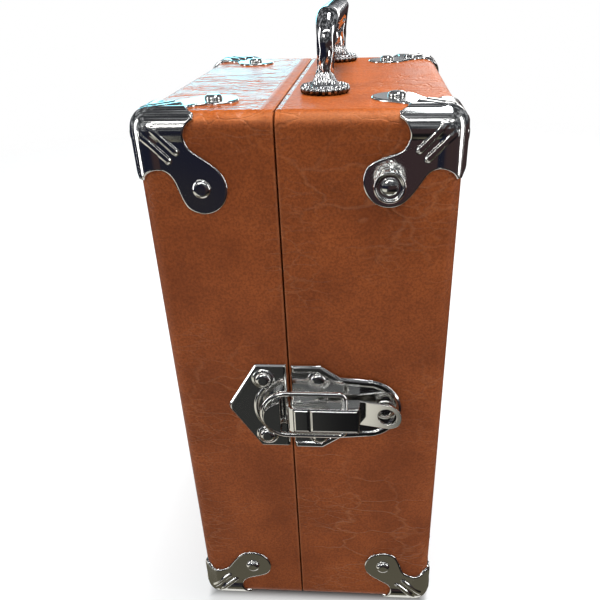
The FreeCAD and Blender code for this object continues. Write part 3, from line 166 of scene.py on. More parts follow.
class Value:
    """A number socket that adds Math nodes when it is used in an expression."""

    def __init__(self, tree, socket):
        self.tree = tree
        self.socket = socket

    __add__ = __radd__ = operation("ADD")
    __mul__ = __rmul__ = operation("MULTIPLY")
    __sub__, __rsub__ = operation("SUBTRACT"), operation("SUBTRACT", True)
    __truediv__, __rtruediv__ = operation("DIVIDE"), operation("DIVIDE", True)
    __abs__ = operation("ABSOLUTE")
    wave = operation("SINE")
    root = operation("SQRT")
    greater = operation("MAXIMUM")
    wrap = operation("WRAP")
    # Angle of the point (other, self) about the origin.
    bearing = operation("ARCTAN2")

    def off_step(self, step):
        """Distance to the nearest whole multiple of a step."""
        return abs(self.wrap(step / 2, -step / 2))

    def ramp(self, low, high):
        """A smooth step from 0 at low to 1 at high; low may be above high."""
        ends = (low, high, 0.0, 1.0) if low < high else (high, low, 1.0, 0.0)
        settings = {"interpolation_type": "SMOOTHSTEP"}
        return self.tree.make("ShaderNodeMapRange", settings, dict(enumerate((self, *ends))))


class Tree:
    """A node tree with short ways to add nodes."""

    def __init__(self, node_tree, space):
        self.nodes = node_tree.nodes
        self.links = node_tree.links
        self.place = self.make("ShaderNodeTexCoord", {}, {}, space)

    def make(self, kind, settings, inputs, output=0):
        """Add a node: its settings first, then the values or links of its sockets."""
        node = self.nodes.new(kind)
        for key, value in settings.items():
            setattr(node, key, value)
        for key, value in inputs.items():
            self.feed(node.inputs[key], value)
        return Value(self, node.outputs[output])

    def feed(self, socket, value):
        """Link or set one socket."""
        if isinstance(value, Value):
            self.links.new(value.socket, socket)
        else:
            socket.default_value = value

    def axes(self, place):
        """The three coordinates of a place as values."""
        node = self.nodes.new("ShaderNodeSeparateXYZ")
        self.feed(node.inputs[0], place)
        return [Value(self, out) for out in node.outputs]

    def noise(self, scale, detail=2.0, rough=0.5, place=None, warp=0.0):
        """Smooth random values."""
        inputs = {"Vector": place or self.place, "Scale": scale, "Detail": detail,
                  "Roughness": rough, "Distortion": warp}
        return self.make("ShaderNodeTexNoise", {}, inputs)

    def blend(self, factor, first, second):
        """Mix two colours."""
        inputs = {0: factor, 6: first, 7: second}
        return self.make("ShaderNodeMix", {"data_type": "RGBA"}, inputs, 2)


class Finish(Tree):
    """One material: its nodes and its principled shader."""

    def __init__(self, name, **constants):
        self.material = bpy.data.materials.new(name)
        self.material.use_nodes = True
        super().__init__(self.material.node_tree, "Object")
        self.shader = self.nodes["Principled BSDF"]
        self.set(**constants)

    def set(self, **inputs):
        """Feed sockets of the shader."""
        for key, value in inputs.items():
            self.feed(self.shader.inputs[key.replace("_", " ")], value)

    def millimetres(self):
        """The three coordinates in millimetres."""
        return [axis / MM for axis in self.axes(self.place)]

    def stretched(self, scale, turn=(0, 0, 0)):
        """The place with another scale along each axis."""
        return self.make("ShaderNodeMapping", {}, {0: self.place, 2: turn, 3: scale})

    def shifted(self, amount, scale, place=None):
        """The place pushed about by a smooth random vector."""
        place = place or self.place
        push = self.make("ShaderNodeTexNoise", {}, {"Vector": place, "Scale": scale}, 1)
        inputs = {0: push, 1: (amount, amount, amount), 2: place}
        return self.make("ShaderNodeVectorMath", {"operation": "MULTIPLY_ADD"}, inputs)

    def cells(self, scale, feature="F1", place=None):
        """Distance inside random cells."""
        inputs = {"Vector": place or self.place, "Scale": scale}
        return self.make("ShaderNodeTexVoronoi", {"feature": feature}, inputs)

    def done(self, base, rough, height, depth, strength):
        """Feed colour, roughness and a relief in units of depth, and give the material."""
        inputs = {"Strength": strength, "Distance": depth, "Height": height}
        relief = self.make("ShaderNodeBump", {}, inputs)
        self.set(Base_Color=base, Roughness=rough, Normal=relief)
        return self.material


def rgb(tone):
    """A colour with full alpha."""
    return (*tone[:3], 1.0)


def polar(y, z, pivot):
    """Distance and bearing of the place (y, z) about a pivot."""
    dy, dz = y - pivot[0], z - pivot[1]
    return (dy * dy + dz * dz).root(), dz.bearing(dy)


# Finishes.

def leatherette():
    """Tan covering: cell grain, crease nets in patches, folds across the top, and edges paler by
    wear and by a painted highlight.
    """
    look = bpy.context.scene.tester_case
    f = Finish("leatherette", Specular_IOR_Level=0.24)
    x, y, z = f.millimetres()
    low, high = CASE_LOW, CASE_HIGH
    top = z.ramp(high[2] - 4.0, high[2] - 1.0)
    strip = (x - SEAM_X).ramp(0.3, 0.6) * (x - SEAM_X).ramp(3.4, 2.6)
    shine = x.ramp(SEAM_X - 5.0, SEAM_X - 9.0).greater(strip) * top
    grain = f.cells(1250.0) * 0.7 + f.noise(1500.0, 2.0) * 0.6
    net = f.shifted(0.7, 1.6, f.stretched((26.0, 26.0, 48.0), (0.3, 0.35, 0.2)))
    hair = f.shifted(0.9, 1.3, f.stretched((60.0, 60.0, 150.0), (0.2, -0.4, 0.1)))
    net, hair = [f.cells(1.0, "DISTANCE_TO_EDGE", place) for place in (net, hair)]
    lines = net.ramp(0.05, 0.0) * f.noise(11.0, 2.0).ramp(0.5, 0.68)
    hairs = hair.ramp(0.07, 0.0) * f.noise(17.0, 2.0).ramp(0.46, 0.66)
    across = f.stretched((22.0, 40.0, 22.0), (0.0, 0.0, 0.4))
    folds = abs(f.noise(1.0, 3.0, 0.5, across, 0.5) - 0.5).ramp(0.07, 0.0)
    tone = f.noise(26.0, 5.0, 0.62).ramp(0.28, 0.74)
    speck = f.noise(760.0, 3.0, 0.7).ramp(0.36, 0.66)
    seam = abs(x - SEAM_X).ramp(2.0, 0.6)
    rim = abs(z - high[2] + 2.4).ramp(3.2, 0.8) * (y - low[1]).ramp(7.0, 3.0)
    # Paler along the seam and the front top edge: partly wear, partly a painted highlight on the
    # folded edges.
    wear_and_highlight = (seam * 0.5).greater(rim * 0.6) * f.noise(60.0, 4.0, 0.7).ramp(0.25, 0.6)
    base = f.blend(tone, rgb(look.deep), rgb(look.tan))
    base = f.blend(speck * 0.55, base, rgb(look.dark))
    base = f.blend(lines * 0.15 + hairs * 0.12 + wear_and_highlight * 0.4, base, rgb(look.scuff_and_highlight))
    dents = f.noise(34.0, 3.0, 0.55, None, 0.6)
    wrinkles = (folds * 1.5 + dents * 2.2) * (top * 0.12 + shine * 0.88)
    height = grain * 0.22 - lines * 1.6 - hairs * 0.8 + dents * 0.8 - wrinkles
    gloss = top * 0.05 + shine * 0.22
    return f.done(base, 0.42 + tone * 0.08 + speck * 0.05 - gloss, height, 0.0006, 0.6)


def chrome():
    """Bright plate with faint polishing waves and handling haze."""
    look = bpy.context.scene.tester_chrome
    f = Finish("chrome", Metallic=1.0)
    haze = f.noise(70.0, 5.0, 0.65).ramp(0.45, 0.8)
    specks = f.cells(520.0).ramp(0.07, 0.0) * f.noise(40.0).ramp(0.5, 0.68)
    base = f.blend(haze * 0.3 + specks * 0.6, rgb(look.plate), rgb(look.dull))
    return f.done(base, 0.04 + haze * 0.07 + specks * 0.3, f.noise(110.0, 2.0), 0.0003, 0.2)


def shared_chrome():
    """The plate's material, made once."""
    return bpy.data.materials.get("chrome") or chrome()


def cast_chrome():
    """Plate over a casting: soft waves, and painted shade low down round the feet."""
    look = bpy.context.scene.tester_chrome
    f = Finish("cast_chrome", Metallic=1.0)
    height = f.millimetres()[2] - CASE_HIGH[2]
    # Painted shade: the plate darkens to near black in the lowest few millimetres of the feet,
    # where they stand on the case.
    foot_shade = height.ramp(3.2, 1.5) * f.noise(300.0).ramp(0.2, 0.55)
    haze = f.noise(90.0, 5.0, 0.65).ramp(0.42, 0.75)
    base = f.blend(haze * 0.4, rgb(look.plate), rgb(look.dull))
    base = f.blend(foot_shade, base, rgb(look.foot_shade))
    return f.done(base, 0.06 + haze * 0.08 + foot_shade * 0.2, f.noise(190.0, 2.0), 0.0004, 0.3)


def mottled(name, first, second, roughness, metallic=0.0, scale=60.0, **constants):
    """A finish with uneven tone and a light surface texture."""
    f = Finish(name, Metallic=metallic, **constants)
    tone = f.noise(scale, 4.0, 0.6).ramp(0.3, 0.72)
    fine = f.noise(scale * 14.0, 2.0)
    base = f.blend(tone, rgb(first), rgb(second))
    return f.done(base, roughness - 0.05 + fine * 0.12, fine + tone * 0.5, 0.0002, 0.3)


def plywood():
    """Bare wood: long rings along the grain and dark pores."""
    f = Finish("plywood")
    rings = f.noise(1.0, 4.0, 0.6, f.stretched((60.0, 60.0, 7.0)), 0.8)
    pores = f.noise(1.0, 2.0, 0.5, f.stretched((900.0, 900.0, 40.0))).ramp(0.6, 0.75)
    base = f.blend(rings.ramp(0.35, 0.65), (0.44, 0.27, 0.13, 1), (0.62, 0.43, 0.24, 1))
    base = f.blend(pores * 0.5, base, (0.2, 0.11, 0.05, 1))
    return f.done(base, 0.62, rings + pores * -0.6, 0.0002, 0.5)


def knob_ticks(y, z, pivot):
    """A ring of short marks about a knob, left open under it."""
    away, turn = polar(y, z, pivot)
    tick = (turn.off_step(math.radians(KNOB_STEP)) * away).ramp(0.55, 0.3)
    ring = away.ramp(TICK_IN, TICK_IN + 0.4) * away.ramp(TICK_OUT + 0.4, TICK_OUT)
    return tick * ring * abs(turn).ramp(2.75, 2.7)


def wrinkle_paint():
    """Grey-black wrinkle paint with selector marks in cream."""
    f = Finish("panel_paint", Specular_IOR_Level=0.4)
    ridges = f.noise(420.0, 2.0, 0.4, None, 1.6)
    x, y, z = f.millimetres()
    marks = reduce(Value.greater, [knob_ticks(y, z, at[1:]) for at in KNOB_AT])
    marks = marks * x.ramp(PANEL_FACE + 0.5, PANEL_FACE + 0.2)
    paint = f.blend(ridges.ramp(0.35, 0.65), (0.028, 0.031, 0.032, 1), (0.06, 0.064, 0.065, 1))
    paint = f.blend(marks, paint, (0.78, 0.72, 0.58, 1))
    return f.done(paint, 0.42 + marks * 0.15, ridges, 0.0004, 0.7)


def dial_card(pivot, radius, sweep):
    """Cream card with a scale arc, ticks and a red and a green band about the needle's pivot."""
    f = Finish("dial")
    _, y, z = f.millimetres()
    away, turn = polar(y, z, pivot)
    half = math.radians(sweep / 2)
    inside = abs(turn).ramp(half + 0.012, half + 0.004)
    ink = abs(away - radius).ramp(0.45, 0.25)
    for count, fade, tall in SCALE_TICKS:
        tick = (turn.off_step(half / count) * away).ramp(*fade)
        reach = away.ramp(radius - 0.4, radius) * away.ramp(radius + tall + 0.2, radius + tall)
        ink = ink.greater(tick * reach)
    band = away.ramp(radius - 6.4, radius - 6.2) * away.ramp(radius - 2.2, radius - 2.4) * inside
    card = f.blend(f.noise(90.0, 4.0).ramp(0.3, 0.7), (0.8, 0.72, 0.53, 1), (0.86, 0.79, 0.62, 1))
    card = f.blend(band * turn.ramp(0.02, -0.02), card, (0.5, 0.05, 0.03, 1))
    card = f.blend(band * turn.ramp(0.1, 0.14), card, (0.07, 0.3, 0.09, 1))
    card = f.blend(ink * inside, card, (0.02, 0.02, 0.02, 1))
    return f.done(card, 0.6, f.noise(1400.0), 0.0001, 0.2)


def knob_moulding():
    """Black moulding with a cream line along each pointer's nose."""
    f = Finish("phenolic_knob", Coat_Weight=0.3, Coat_Roughness=0.12)
    _, y, z = f.millimetres()
    noses = [abs(z - at[2]).ramp(0.8, 0.55) * (y - at[1]).ramp(3.0, 3.4) for at in KNOB_AT]
    tone = f.noise(120.0, 4.0)
    base = f.blend(tone, (0.012, 0.011, 0.01, 1), (0.03, 0.026, 0.022, 1))
    base = f.blend(reduce(Value.greater, noses), base, (0.8, 0.74, 0.6, 1))
    return f.done(base, 0.24 + tone * 0.16, f.noise(600.0), 0.0001, 0.2)


def layered_board():
    """Brown board with fibres along it and bright solder points."""
    f = Finish("board", Specular_IOR_Level=0.4)
    fibres = f.noise(1.0, 3.0, 0.6, f.stretched((90.0, 700.0, 90.0)))
    dots = f.cells(130.0).ramp(0.2, 0.14)
    base = f.blend(fibres.ramp(0.3, 0.7), (0.2, 0.09, 0.03, 1), (0.34, 0.17, 0.06, 1))
    base = f.blend(dots * 0.7, base, (0.6, 0.58, 0.54, 1))
    return f.done(base, 0.5 - dots * 0.2, fibres + dots, 0.0002, 0.4)


def wound_coil():
    """Waxed paper over turns of wire: close rings along the coil."""
    f = Finish("winding")
    turns = (f.axes(f.place)[2] * 6200.0).wave()
    stain = f.noise(70.0, 4.0).ramp(0.35, 0.7)
    base = f.blend(stain, (0.46, 0.28, 0.1, 1), (0.3, 0.16, 0.05, 1))
    return f.done(base, 0.42 + stain * 0.15, turns * 0.4 + stain, 0.0002, 0.5)


def laminations():
    """Varnished sheet steel: fine layer lines across the stack."""
    f = Finish("core_steel", Metallic=0.55)
    sheets = (f.axes(f.place)[0] * 12500.0).wave()
    rust = f.noise(80.0, 5.0).ramp(0.5, 0.75)
    base = f.blend(rust * 0.6, (0.06, 0.06, 0.065, 1), (0.16, 0.08, 0.04, 1))
    return f.done(base, 0.4 + rust * 0.3, sheets * 0.5 + rust, 0.00015, 0.5)


def clear_glass():
    """Thin clear window with a faint film of dust."""
    f = Finish("glass", Roughness=0.04, Specular_IOR_Level=0.6)
    dust = f.noise(160.0, 5.0, 0.7).ramp(0.45, 0.85)
    base = f.blend(dust, (0.85, 0.9, 0.9, 1), (0.95, 0.95, 0.92, 1))
    f.set(Base_Color=base, Alpha=0.1 + dust * 0.08)
    return f.material


# Meshes.

def add_object(name, data):
    """A new object in the scene."""
    thing = bpy.data.objects.new(name, data)
    bpy.context.scene.collection.objects.link(thing)
    return thing


def paint(mesh, material):
    """Give a mesh one material in place of those it has."""
    mesh.materials.clear()
    mesh.materials.append(material)


def put(name, mesh, material, nodes=(), body=None):
    """Link a finished mesh as a piece, standing for CAD nodes where it replaces them."""
    piece = add_object(name, mesh)
    paint(mesh, material)
    if nodes:
        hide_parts(*nodes)
    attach(piece, body or BODY_OF[nodes[0]])
    return piece


def dress(material, *nodes):
    """Give CAD nodes a material."""
    for node in nodes:
        paint(frame["nodes"][node].data, material)


@contextmanager
def merged(mesh):
    """Lend a mesh for an edit with the points that meet merged, then shade it smooth."""
    work = bmesh.new()
    work.from_mesh(mesh)
    bmesh.ops.remove_doubles(work, verts=work.verts, dist=MERGE)
    yield work
    work.to_mesh(mesh)
    work.free()
    mesh.shade_smooth()


def polished(material, *nodes, bevel=0.0):
    """Merged copies of CAD nodes with smooth curved faces, weighted normals and softened edges."""
    for node in nodes:
        mesh = frame["nodes"][node].data.copy()
        mesh.name = node + ".fine"
        with merged(mesh) as work:
            bmesh.ops.dissolve_limit(work, angle_limit=FLAT, verts=work.verts, edges=work.edges)
        mesh.set_sharp_from_angle(angle=CREASE)
        piece = put(node + ".fine", mesh, material, [node])
        if bevel:
            soft = piece.modifiers.new("edges", "BEVEL")
            soft.width = bevel * MM
            soft.segments = 2
            soft.limit_method = "ANGLE"
            soft.angle_limit = CREASE
            soft.use_clamp_overlap = False
            soft.harden_normals = True
        piece.modifiers.new("normals", "WEIGHTED_NORMAL").keep_sharp = True


def sheet(rows, columns):
    """Quads between neighbouring rows of a grid whose columns run round."""
    i, j = np.meshgrid(np.arange(rows - 1), np.arange(columns), indexing="ij")
    k = (j + 1) % columns
    corners = [i * columns + j, i * columns + k, (i + 1) * columns + k, (i + 1) * columns + j]
    return np.stack(corners, -1).reshape(-1, 4)


def shell(grid):
    """Points and quads of a grid of rings, in rows."""
    return grid.reshape(-1, 3), sheet(*grid.shape[:2])


def mesh_of(name, shells, crease=None):
    """One mesh from shells in millimetres: rows that meet are merged and faces turned outward."""
    starts = np.cumsum([0] + [len(points) for points, _ in shells])
    points = np.concatenate([points for points, _ in shells]) * MM
    quads = np.concatenate([quads + start for (_, quads), start in zip(shells, starts)])
    mesh = bpy.data.meshes.new(name)
    mesh.from_pydata(points, [], quads)
    with merged(mesh) as work:
        bmesh.ops.recalc_face_normals(work, faces=work.faces)
    if crease:
        mesh.set_sharp_from_angle(angle=crease)
    return mesh


def eased(rows, passes=2):
    """Rows of a profile with each inner corner cut by a quarter of its sides, several times."""
    rows = np.asarray(rows, float)
    for _ in range(passes):
        near = 0.75 * rows[:-1] + 0.25 * rows[1:]
        far = 0.25 * rows[:-1] + 0.75 * rows[1:]
        cut = np.stack([near, far], 1).reshape(-1, rows.shape[1])
        rows = np.concatenate([rows[:1], cut[1:-1], rows[-1:]])
    return rows


def full_turn(count):
    """Angles of evenly spaced points round a circle."""
    return np.linspace(0.0, 2 * np.pi, count, endpoint=False)


def turned(profile, base, axis, count=48, beads=0):
    """A surface of revolution with beaded rows.

    Each (radius, height, lift) row of the profile is a ring about the axis at that height above the
    base. Lift pushes the ring out along the profile's normal by a row of round bumps: lift times
    the size of the cosine of half the angle times the number of beads.
    """
    profile = np.asarray(profile, float)
    base, axis = np.asarray(base, float), np.asarray(axis, float)
    angle = full_turn(count)
    slope = np.gradient(profile[:, :2], axis=0)
    normal = np.stack([slope[:, 1], -slope[:, 0]], -1)
    normal /= np.linalg.norm(normal, axis=1, keepdims=True) + 1e-9
    lift = profile[:, 2, None] * np.abs(np.cos(beads * angle / 2))
    radius = profile[:, 0, None] + lift * normal[:, :1]
    height = profile[:, 1, None] + lift * normal[:, 1:]
    across = np.roll(axis, 1)
    beside = np.cross(axis, across)
    ring = np.cos(angle)[:, None] * across + np.sin(angle)[:, None] * beside
    return shell(base + height[..., None] * axis + radius[..., None] * ring)


# Corner plates.

def case_corners():
    """Node name, corner point and inward signs of the eight corners of the case."""
    for half, x, sx in (("lid", CASE_LOW[0], 1), ("base", CASE_HIGH[0], -1)):
        for level, z, sz in (("bottom", CASE_LOW[2], 1), ("top", CASE_HIGH[2], -1)):
            for side, y, sy in (("front", CASE_LOW[1], 1), ("back", CASE_HIGH[1], -1)):
                name = "corner_%s_%s_%s" % (half, level, side)
                yield name, np.array((x, y, z)), np.array((sx, sy, sz))


def round_points(centre, radius, start, stop, count):
    """Points along an arc, angles in degrees."""
    angle = np.radians(np.linspace(start, stop, count))
    return np.asarray(centre) + radius * np.stack([np.cos(angle), np.sin(angle)], -1)


def heading(degrees):
    """A step of length one at an angle."""
    return round_points((0.0, 0.0), 1.0, degrees, degrees, 1)[0]


def rolled_out(rim, edge):
    """Coordinates across a rounded edge turned into lengths along its surface."""
    inside = np.clip((edge - rim) / edge, 0.0, 1.0)
    return np.where(rim < edge, edge * (1 - np.arcsin(inside)), rim)


def ear_half(size, lobe):
    """Half of an ear's rim in its face: case edge, end of the lip, bite, flank and half the lobe.

    Returns the rows on the seam with the next ear and the rows of the free rim.
    """
    start = size.edge * (1 - math.pi / 4)
    drop = size.bite_t - math.sqrt(size.bite ** 2 - (size.bite_s - size.lip) ** 2)
    first = math.degrees(math.atan2(drop - size.bite_t, size.lip - size.bite_s)) % 360
    seam = np.stack([np.linspace(start, size.lip, SEAM_ROWS), np.full(SEAM_ROWS, start)], -1)
    across = np.linspace(start, rolled_out(drop, size.edge), 6)[1:]
    lip = np.stack([np.full_like(across, size.lip), across], -1)
    middle = (size.bite_s, size.bite_t)
    bite = rolled_out(round_points(middle, size.bite, first, BITE_END, BITE_ROWS), size.edge)
    arc = round_points(lobe, size.lobe, LOBE_START, LOBE_MIDDLE, LOBE_ROWS)
    leave = bite[-1] + FLANK_PULL * heading(BITE_END - 90.0)
    meet = arc[0] - FLANK_PULL * heading(LOBE_START + 90.0)
    u = np.linspace(0.0, 1.0, FLANK_ROWS)[1:-1, None]
    v = 1 - u
    flank = v ** 3 * bite[-1] + 3 * u * v ** 2 * leave + 3 * u ** 2 * v * meet + u ** 3 * arc[0]
    return seam, np.concatenate([lip, bite[1:], flank, arc])


def rim_distance(points, rim):
    """Shortest distance from each point to an open line of points."""
    a, d = rim[:-1], np.diff(rim, axis=0)
    rel = points[..., None, :] - a
    along = np.clip((rel * d).sum(-1) / (d * d).sum(-1), 0.0, 1.0)
    return np.linalg.norm(rel - along[..., None] * d, axis=-1).min(-1)


def ear_height(size, s, t, gap):
    """Height of the plate over the case: thickness, edge beads, two ribs, and a rolled free rim.

    The bead is a circle about the case edge's axis, each rib a smooth bump about a line along the
    diagonal, and the rim a quarter round over the distance to the free edge.
    """
    reach = np.clip(np.minimum(s, t) - size.edge, 0.0, size.bead)
    bead = np.sqrt(size.bead ** 2 - reach ** 2) - size.edge
    along, across = (s + t) / math.sqrt(2), (t - s) / math.sqrt(2)
    past = np.maximum(np.abs(along - RIB_MIDDLE) - RIB_HALF, 0.0)
    off = np.hypot(past, np.abs(across) - RIB_OFF)
    bump = np.clip((RIB_FOOT - off) / RIB_FLANK, 0.0, 1.0)
    rib = size.sheet + size.rib * bump * bump * (3 - 2 * bump)
    full = np.maximum(np.maximum(bead, rib), size.sheet)
    rolled = np.sqrt(1 - (1 - np.clip(gap / size.roll, 0.0, 1.0)) ** 2)
    return EDGE_RISE + (full - EDGE_RISE) * rolled


def ear(size, hand, k):
    """One ear of a corner plate; the case corner is at the origin, the case in the positive octant.

    Rings close in from the rim to a middle point. Across a case edge the length along the surface
    becomes an angle, and the point lies out from the edge's axis by the edge radius and the height.
    """
    lobe = np.array((size.lobe_in - hand * size.skew, size.lobe_in + hand * size.skew))
    seam, free = ear_half(size, lobe)
    seam_b, free_b = [rows[:, ::-1] for rows in ear_half(size, lobe[::-1])]
    loop = np.concatenate([seam, free, free_b[-2::-1], seam_b[:0:-1]])
    inward = EAR_MIDDLE - loop
    span = np.linalg.norm(inward, axis=1)
    rim = RIM_STEPS[-1] / span
    rest = rim + np.linspace(0, 1, EAR_RINGS)[1:, None] * (1 - rim)
    share = np.concatenate([RIM_STEPS[:, None] / span, rest])
    flat = loop + share[..., None] * inward
    gap = np.minimum(rim_distance(flat, np.concatenate([seam[-1:], free])),
                     rim_distance(flat, np.concatenate([seam_b[-1:], free_b])))
    top = ear_height(size, flat[..., 0], flat[..., 1], gap)
    upper = np.concatenate([loop[None], flat]), np.concatenate([0 * top[:1], top])
    under = loop + np.linspace(0.0, 1.0, UNDER_RINGS)[:, None, None] * inward, 0.0
    return [shell(around_corner(size.edge, *layer, k)) for layer in (upper, under)]


def around_corner(edge, plane, height, k):
    """Bend (s, t) lengths on face k, and a height over it, round the rounded corner of the case."""
    held = np.maximum(plane, edge)
    lean = np.tan(np.maximum(edge - plane, 0.0) / edge)
    way = np.concatenate([np.ones(plane.shape[:-1] + (1,)), lean], -1)
    way /= np.linalg.norm(way, axis=-1, keepdims=True)
    start = np.concatenate([np.full(plane.shape[:-1] + (1,), edge), held], -1)
    local = start - (edge + np.asarray(height)[..., None]) * way
    return np.roll(local, k, axis=-1)


def corner_mesh(size, name, point, inward):
    """All three ears of one corner plate, turned to its corner of the case."""
    shells = [half for k in range(3) for half in ear(size, np.prod(inward), k)]
    return mesh_of(name, [(point + inward * points, quads) for points, quads in shells])


# Rivets, strap post and handle.

def corner_seats(size, point, inward):
    """Face number, seat and outward axis of the rivet of each ear."""
    skew = np.prod(inward) * size.skew
    for k in range(3):
        seat = np.roll((-size.sheet, size.lobe_in - skew, size.lobe_in + skew), k)
        yield k, point + inward * seat, -inward * np.eye(3)[k]


def rivet_shell(size, seat, axis):
    """A low rivet head: a flat crown eased down to a thin upright edge."""
    r, h = size.rivet, size.rivet_rise
    profile = [(0, -0.2, 0), (r, -0.2, 0), (r, 0.3 * h, 0), (0.94 * r, 0.62 * h, 0),
               (0.72 * r, 0.95 * h, 0), (0.5 * r, h, 0), (0, h, 0)]
    return turned(eased(profile, 3), seat, axis)


def latch_seats(half):
    """Seats of the latch rivets of one half, on their dimples."""
    y = CASE_LOW[1] - LATCH_DIMPLE
    return [np.array((SEAM_X + s, y, LATCH_Z + z)) for s, z in LATCH_RIVETS[half]]


def strap_post(size, seat, axis):
    """Turned button: a groove at the plate, a barrel, a beaded row, a smooth rim and a dome."""
    r, end = size.post, size.post_reach
    stem = np.array(BUTTON_STEM) * (-1, 1, 1) + (r, 0, 0)
    head = np.array(BUTTON_HEAD) * (-1, -1, 1) + (r, end, 0)
    profile = [(0, BUTTON_STEM[0][1], 0), *eased([*stem, *head, (0, end, 0)])]
    return turned(profile, seat, axis, BUTTON_BEADS * BUTTON_BEAD_ROWS, BUTTON_BEADS)


def handle_arch(size):
    """Grip and posts: ellipses along a line that rises, bends over a quarter circle and runs level.

    Widths are set at the foot, the bend and the grip, and eased between them by a moving mean. Low
    on the posts the radius swells by the cosine of eight times the angle, swayed by a sine of the
    height, plus half the cosine of five times the angle less the height: waved leaves that fade out
    upward.
    """
    half, bend = size.handle_pitch / 2, size.handle_bend
    level = size.handle_rise - size.grip_thick / 2
    rise = np.linspace(POST_START, level - bend, POST_ROWS)
    turn = np.radians(np.linspace(0.0, 90.0, BEND_ROWS + 1)[1:])
    run = np.linspace(-half + bend, 0.0, GRIP_ROWS + 1)[1:]
    y = np.concatenate([np.full(POST_ROWS, -half), -half + bend * (1 - np.cos(turn)), run])
    z = np.concatenate([rise, level - bend + bend * np.sin(turn), np.full(GRIP_ROWS, level)])
    lean = np.concatenate([np.zeros(POST_ROWS), turn, np.full(GRIP_ROWS, np.pi / 2)])
    widths = ((*POST_WIDE, size.grip_wide), (*POST_THICK, size.grip_thick, size.grip_thick))
    wide, thick = [eased_width(row, len(z)) for row in widths]
    y, lean = np.concatenate([y, -y[-2::-1]]), np.concatenate([lean, np.pi - lean[-2::-1]])
    z, wide, thick = [np.concatenate([v, v[-2::-1]])[:, None] for v in (z, wide, thick)]
    angle = full_turn(ROUND_ROWS)
    leaf = np.cos(8 * angle + 1.5 * np.sin(0.4 * z)) + 0.5 * np.cos(5 * angle - 0.7 * z)
    swell = 1 + LEAF_DEPTH * leaf * np.clip((LEAF_END - z) / LEAF_FADE, 0.0, 1.0)
    out = swell * thick * np.sin(angle)
    grid = np.stack([size.handle_x + HANDLE_LEAN * z / level + swell * wide * np.cos(angle),
                     y[:, None] - out * np.cos(lean)[:, None], z + out * np.sin(lean)[:, None]], -1)
    ends = [np.broadcast_to(ring.mean(0), ring.shape)[None] for ring in (grid[0], grid[-1])]
    grid = np.concatenate([ends[0], grid, ends[1]])
    return shell(grid + np.array((0.0, handle_middle(size), CASE_HIGH[2])))


def eased_width(row, count):
    """Half widths at every row of the handle, by a moving mean of those that are set."""
    width = np.interp(np.arange(count), WIDTH_AT, row) / 2
    padded = np.pad(width, WIDTH_MEAN // 2, "edge")
    return np.convolve(padded, np.full(WIDTH_MEAN, 1 / WIDTH_MEAN), "valid")


def handle_middle(size):
    """Y of the handle's middle."""
    return CASE_LOW[1] + size.handle_front + size.handle_pitch / 2


def handle_foot(size, side):
    """A bell foot with a beaded rim and fluted sides."""
    sides = eased(np.array(FOOT_ROWS) * (-1, 1, 1) + (size.foot, 0, 0))
    profile = [(0, 0, 0), *sides, (0, FOOT_ROWS[-1][1], 0)]
    y = handle_middle(size) + side * size.handle_pitch / 2
    base = (size.handle_x, y, CASE_HIGH[2])
    return turned(profile, base, (0, 0, 1), FOOT_BEADS * FOOT_BEAD_ROWS, FOOT_BEADS)


# Lettering.

def numbers(face, pivot, radius, turns, step=1):
    """Numbers from 0 up in a ring about a pivot, one at each of the turns in degrees."""
    places = [pivot + radius * heading(turn) for turn in turns]
    return [(str(i * step), (face, *place), NUMBER_TALL) for i, place in enumerate(places)]


def lettering(name, words, material):
    """Plain numbers and switch words as one flat mesh: text runs up Z, with its head along Y."""
    points, faces = [], []
    for text, place, height in words:
        curve = bpy.data.curves.new("letters", "FONT")
        curve.body = text
        curve.size = height
        curve.align_x = curve.align_y = "CENTER"
        thing = bpy.data.objects.new("letters", curve)
        flat = bpy.data.meshes.new_from_object(thing)
        flat_points = np.zeros(len(flat.vertices) * 3)
        flat.vertices.foreach_get("co", flat_points)
        x, y, _ = flat_points.reshape(-1, 3).T
        faces += [[len(points) + v for v in face.vertices] for face in flat.polygons]
        points += ((np.stack([0 * x, y, x], -1) + np.asarray(place)) * MM).tolist()
        bpy.data.objects.remove(thing)
        bpy.data.meshes.remove(flat)
    mesh = bpy.data.meshes.new(name)
    mesh.from_pydata(points, [], faces)
    put(name, mesh, material, (), "base")


# Settings.

def length(name, description, millimetres):
    """A size setting."""
    return FloatProperty(name=name, description=description, default=millimetres * MM,
                         unit="LENGTH", precision=5)


def colour(name, description, value):
    """A colour setting."""
    return FloatVectorProperty(name=name, description=description, default=value, subtype="COLOR",
                               min=0.0, max=1.0)


def power(name, description, watts):
    """A light's power setting."""
    return FloatProperty(name=name, description=description, default=watts, unit="POWER")


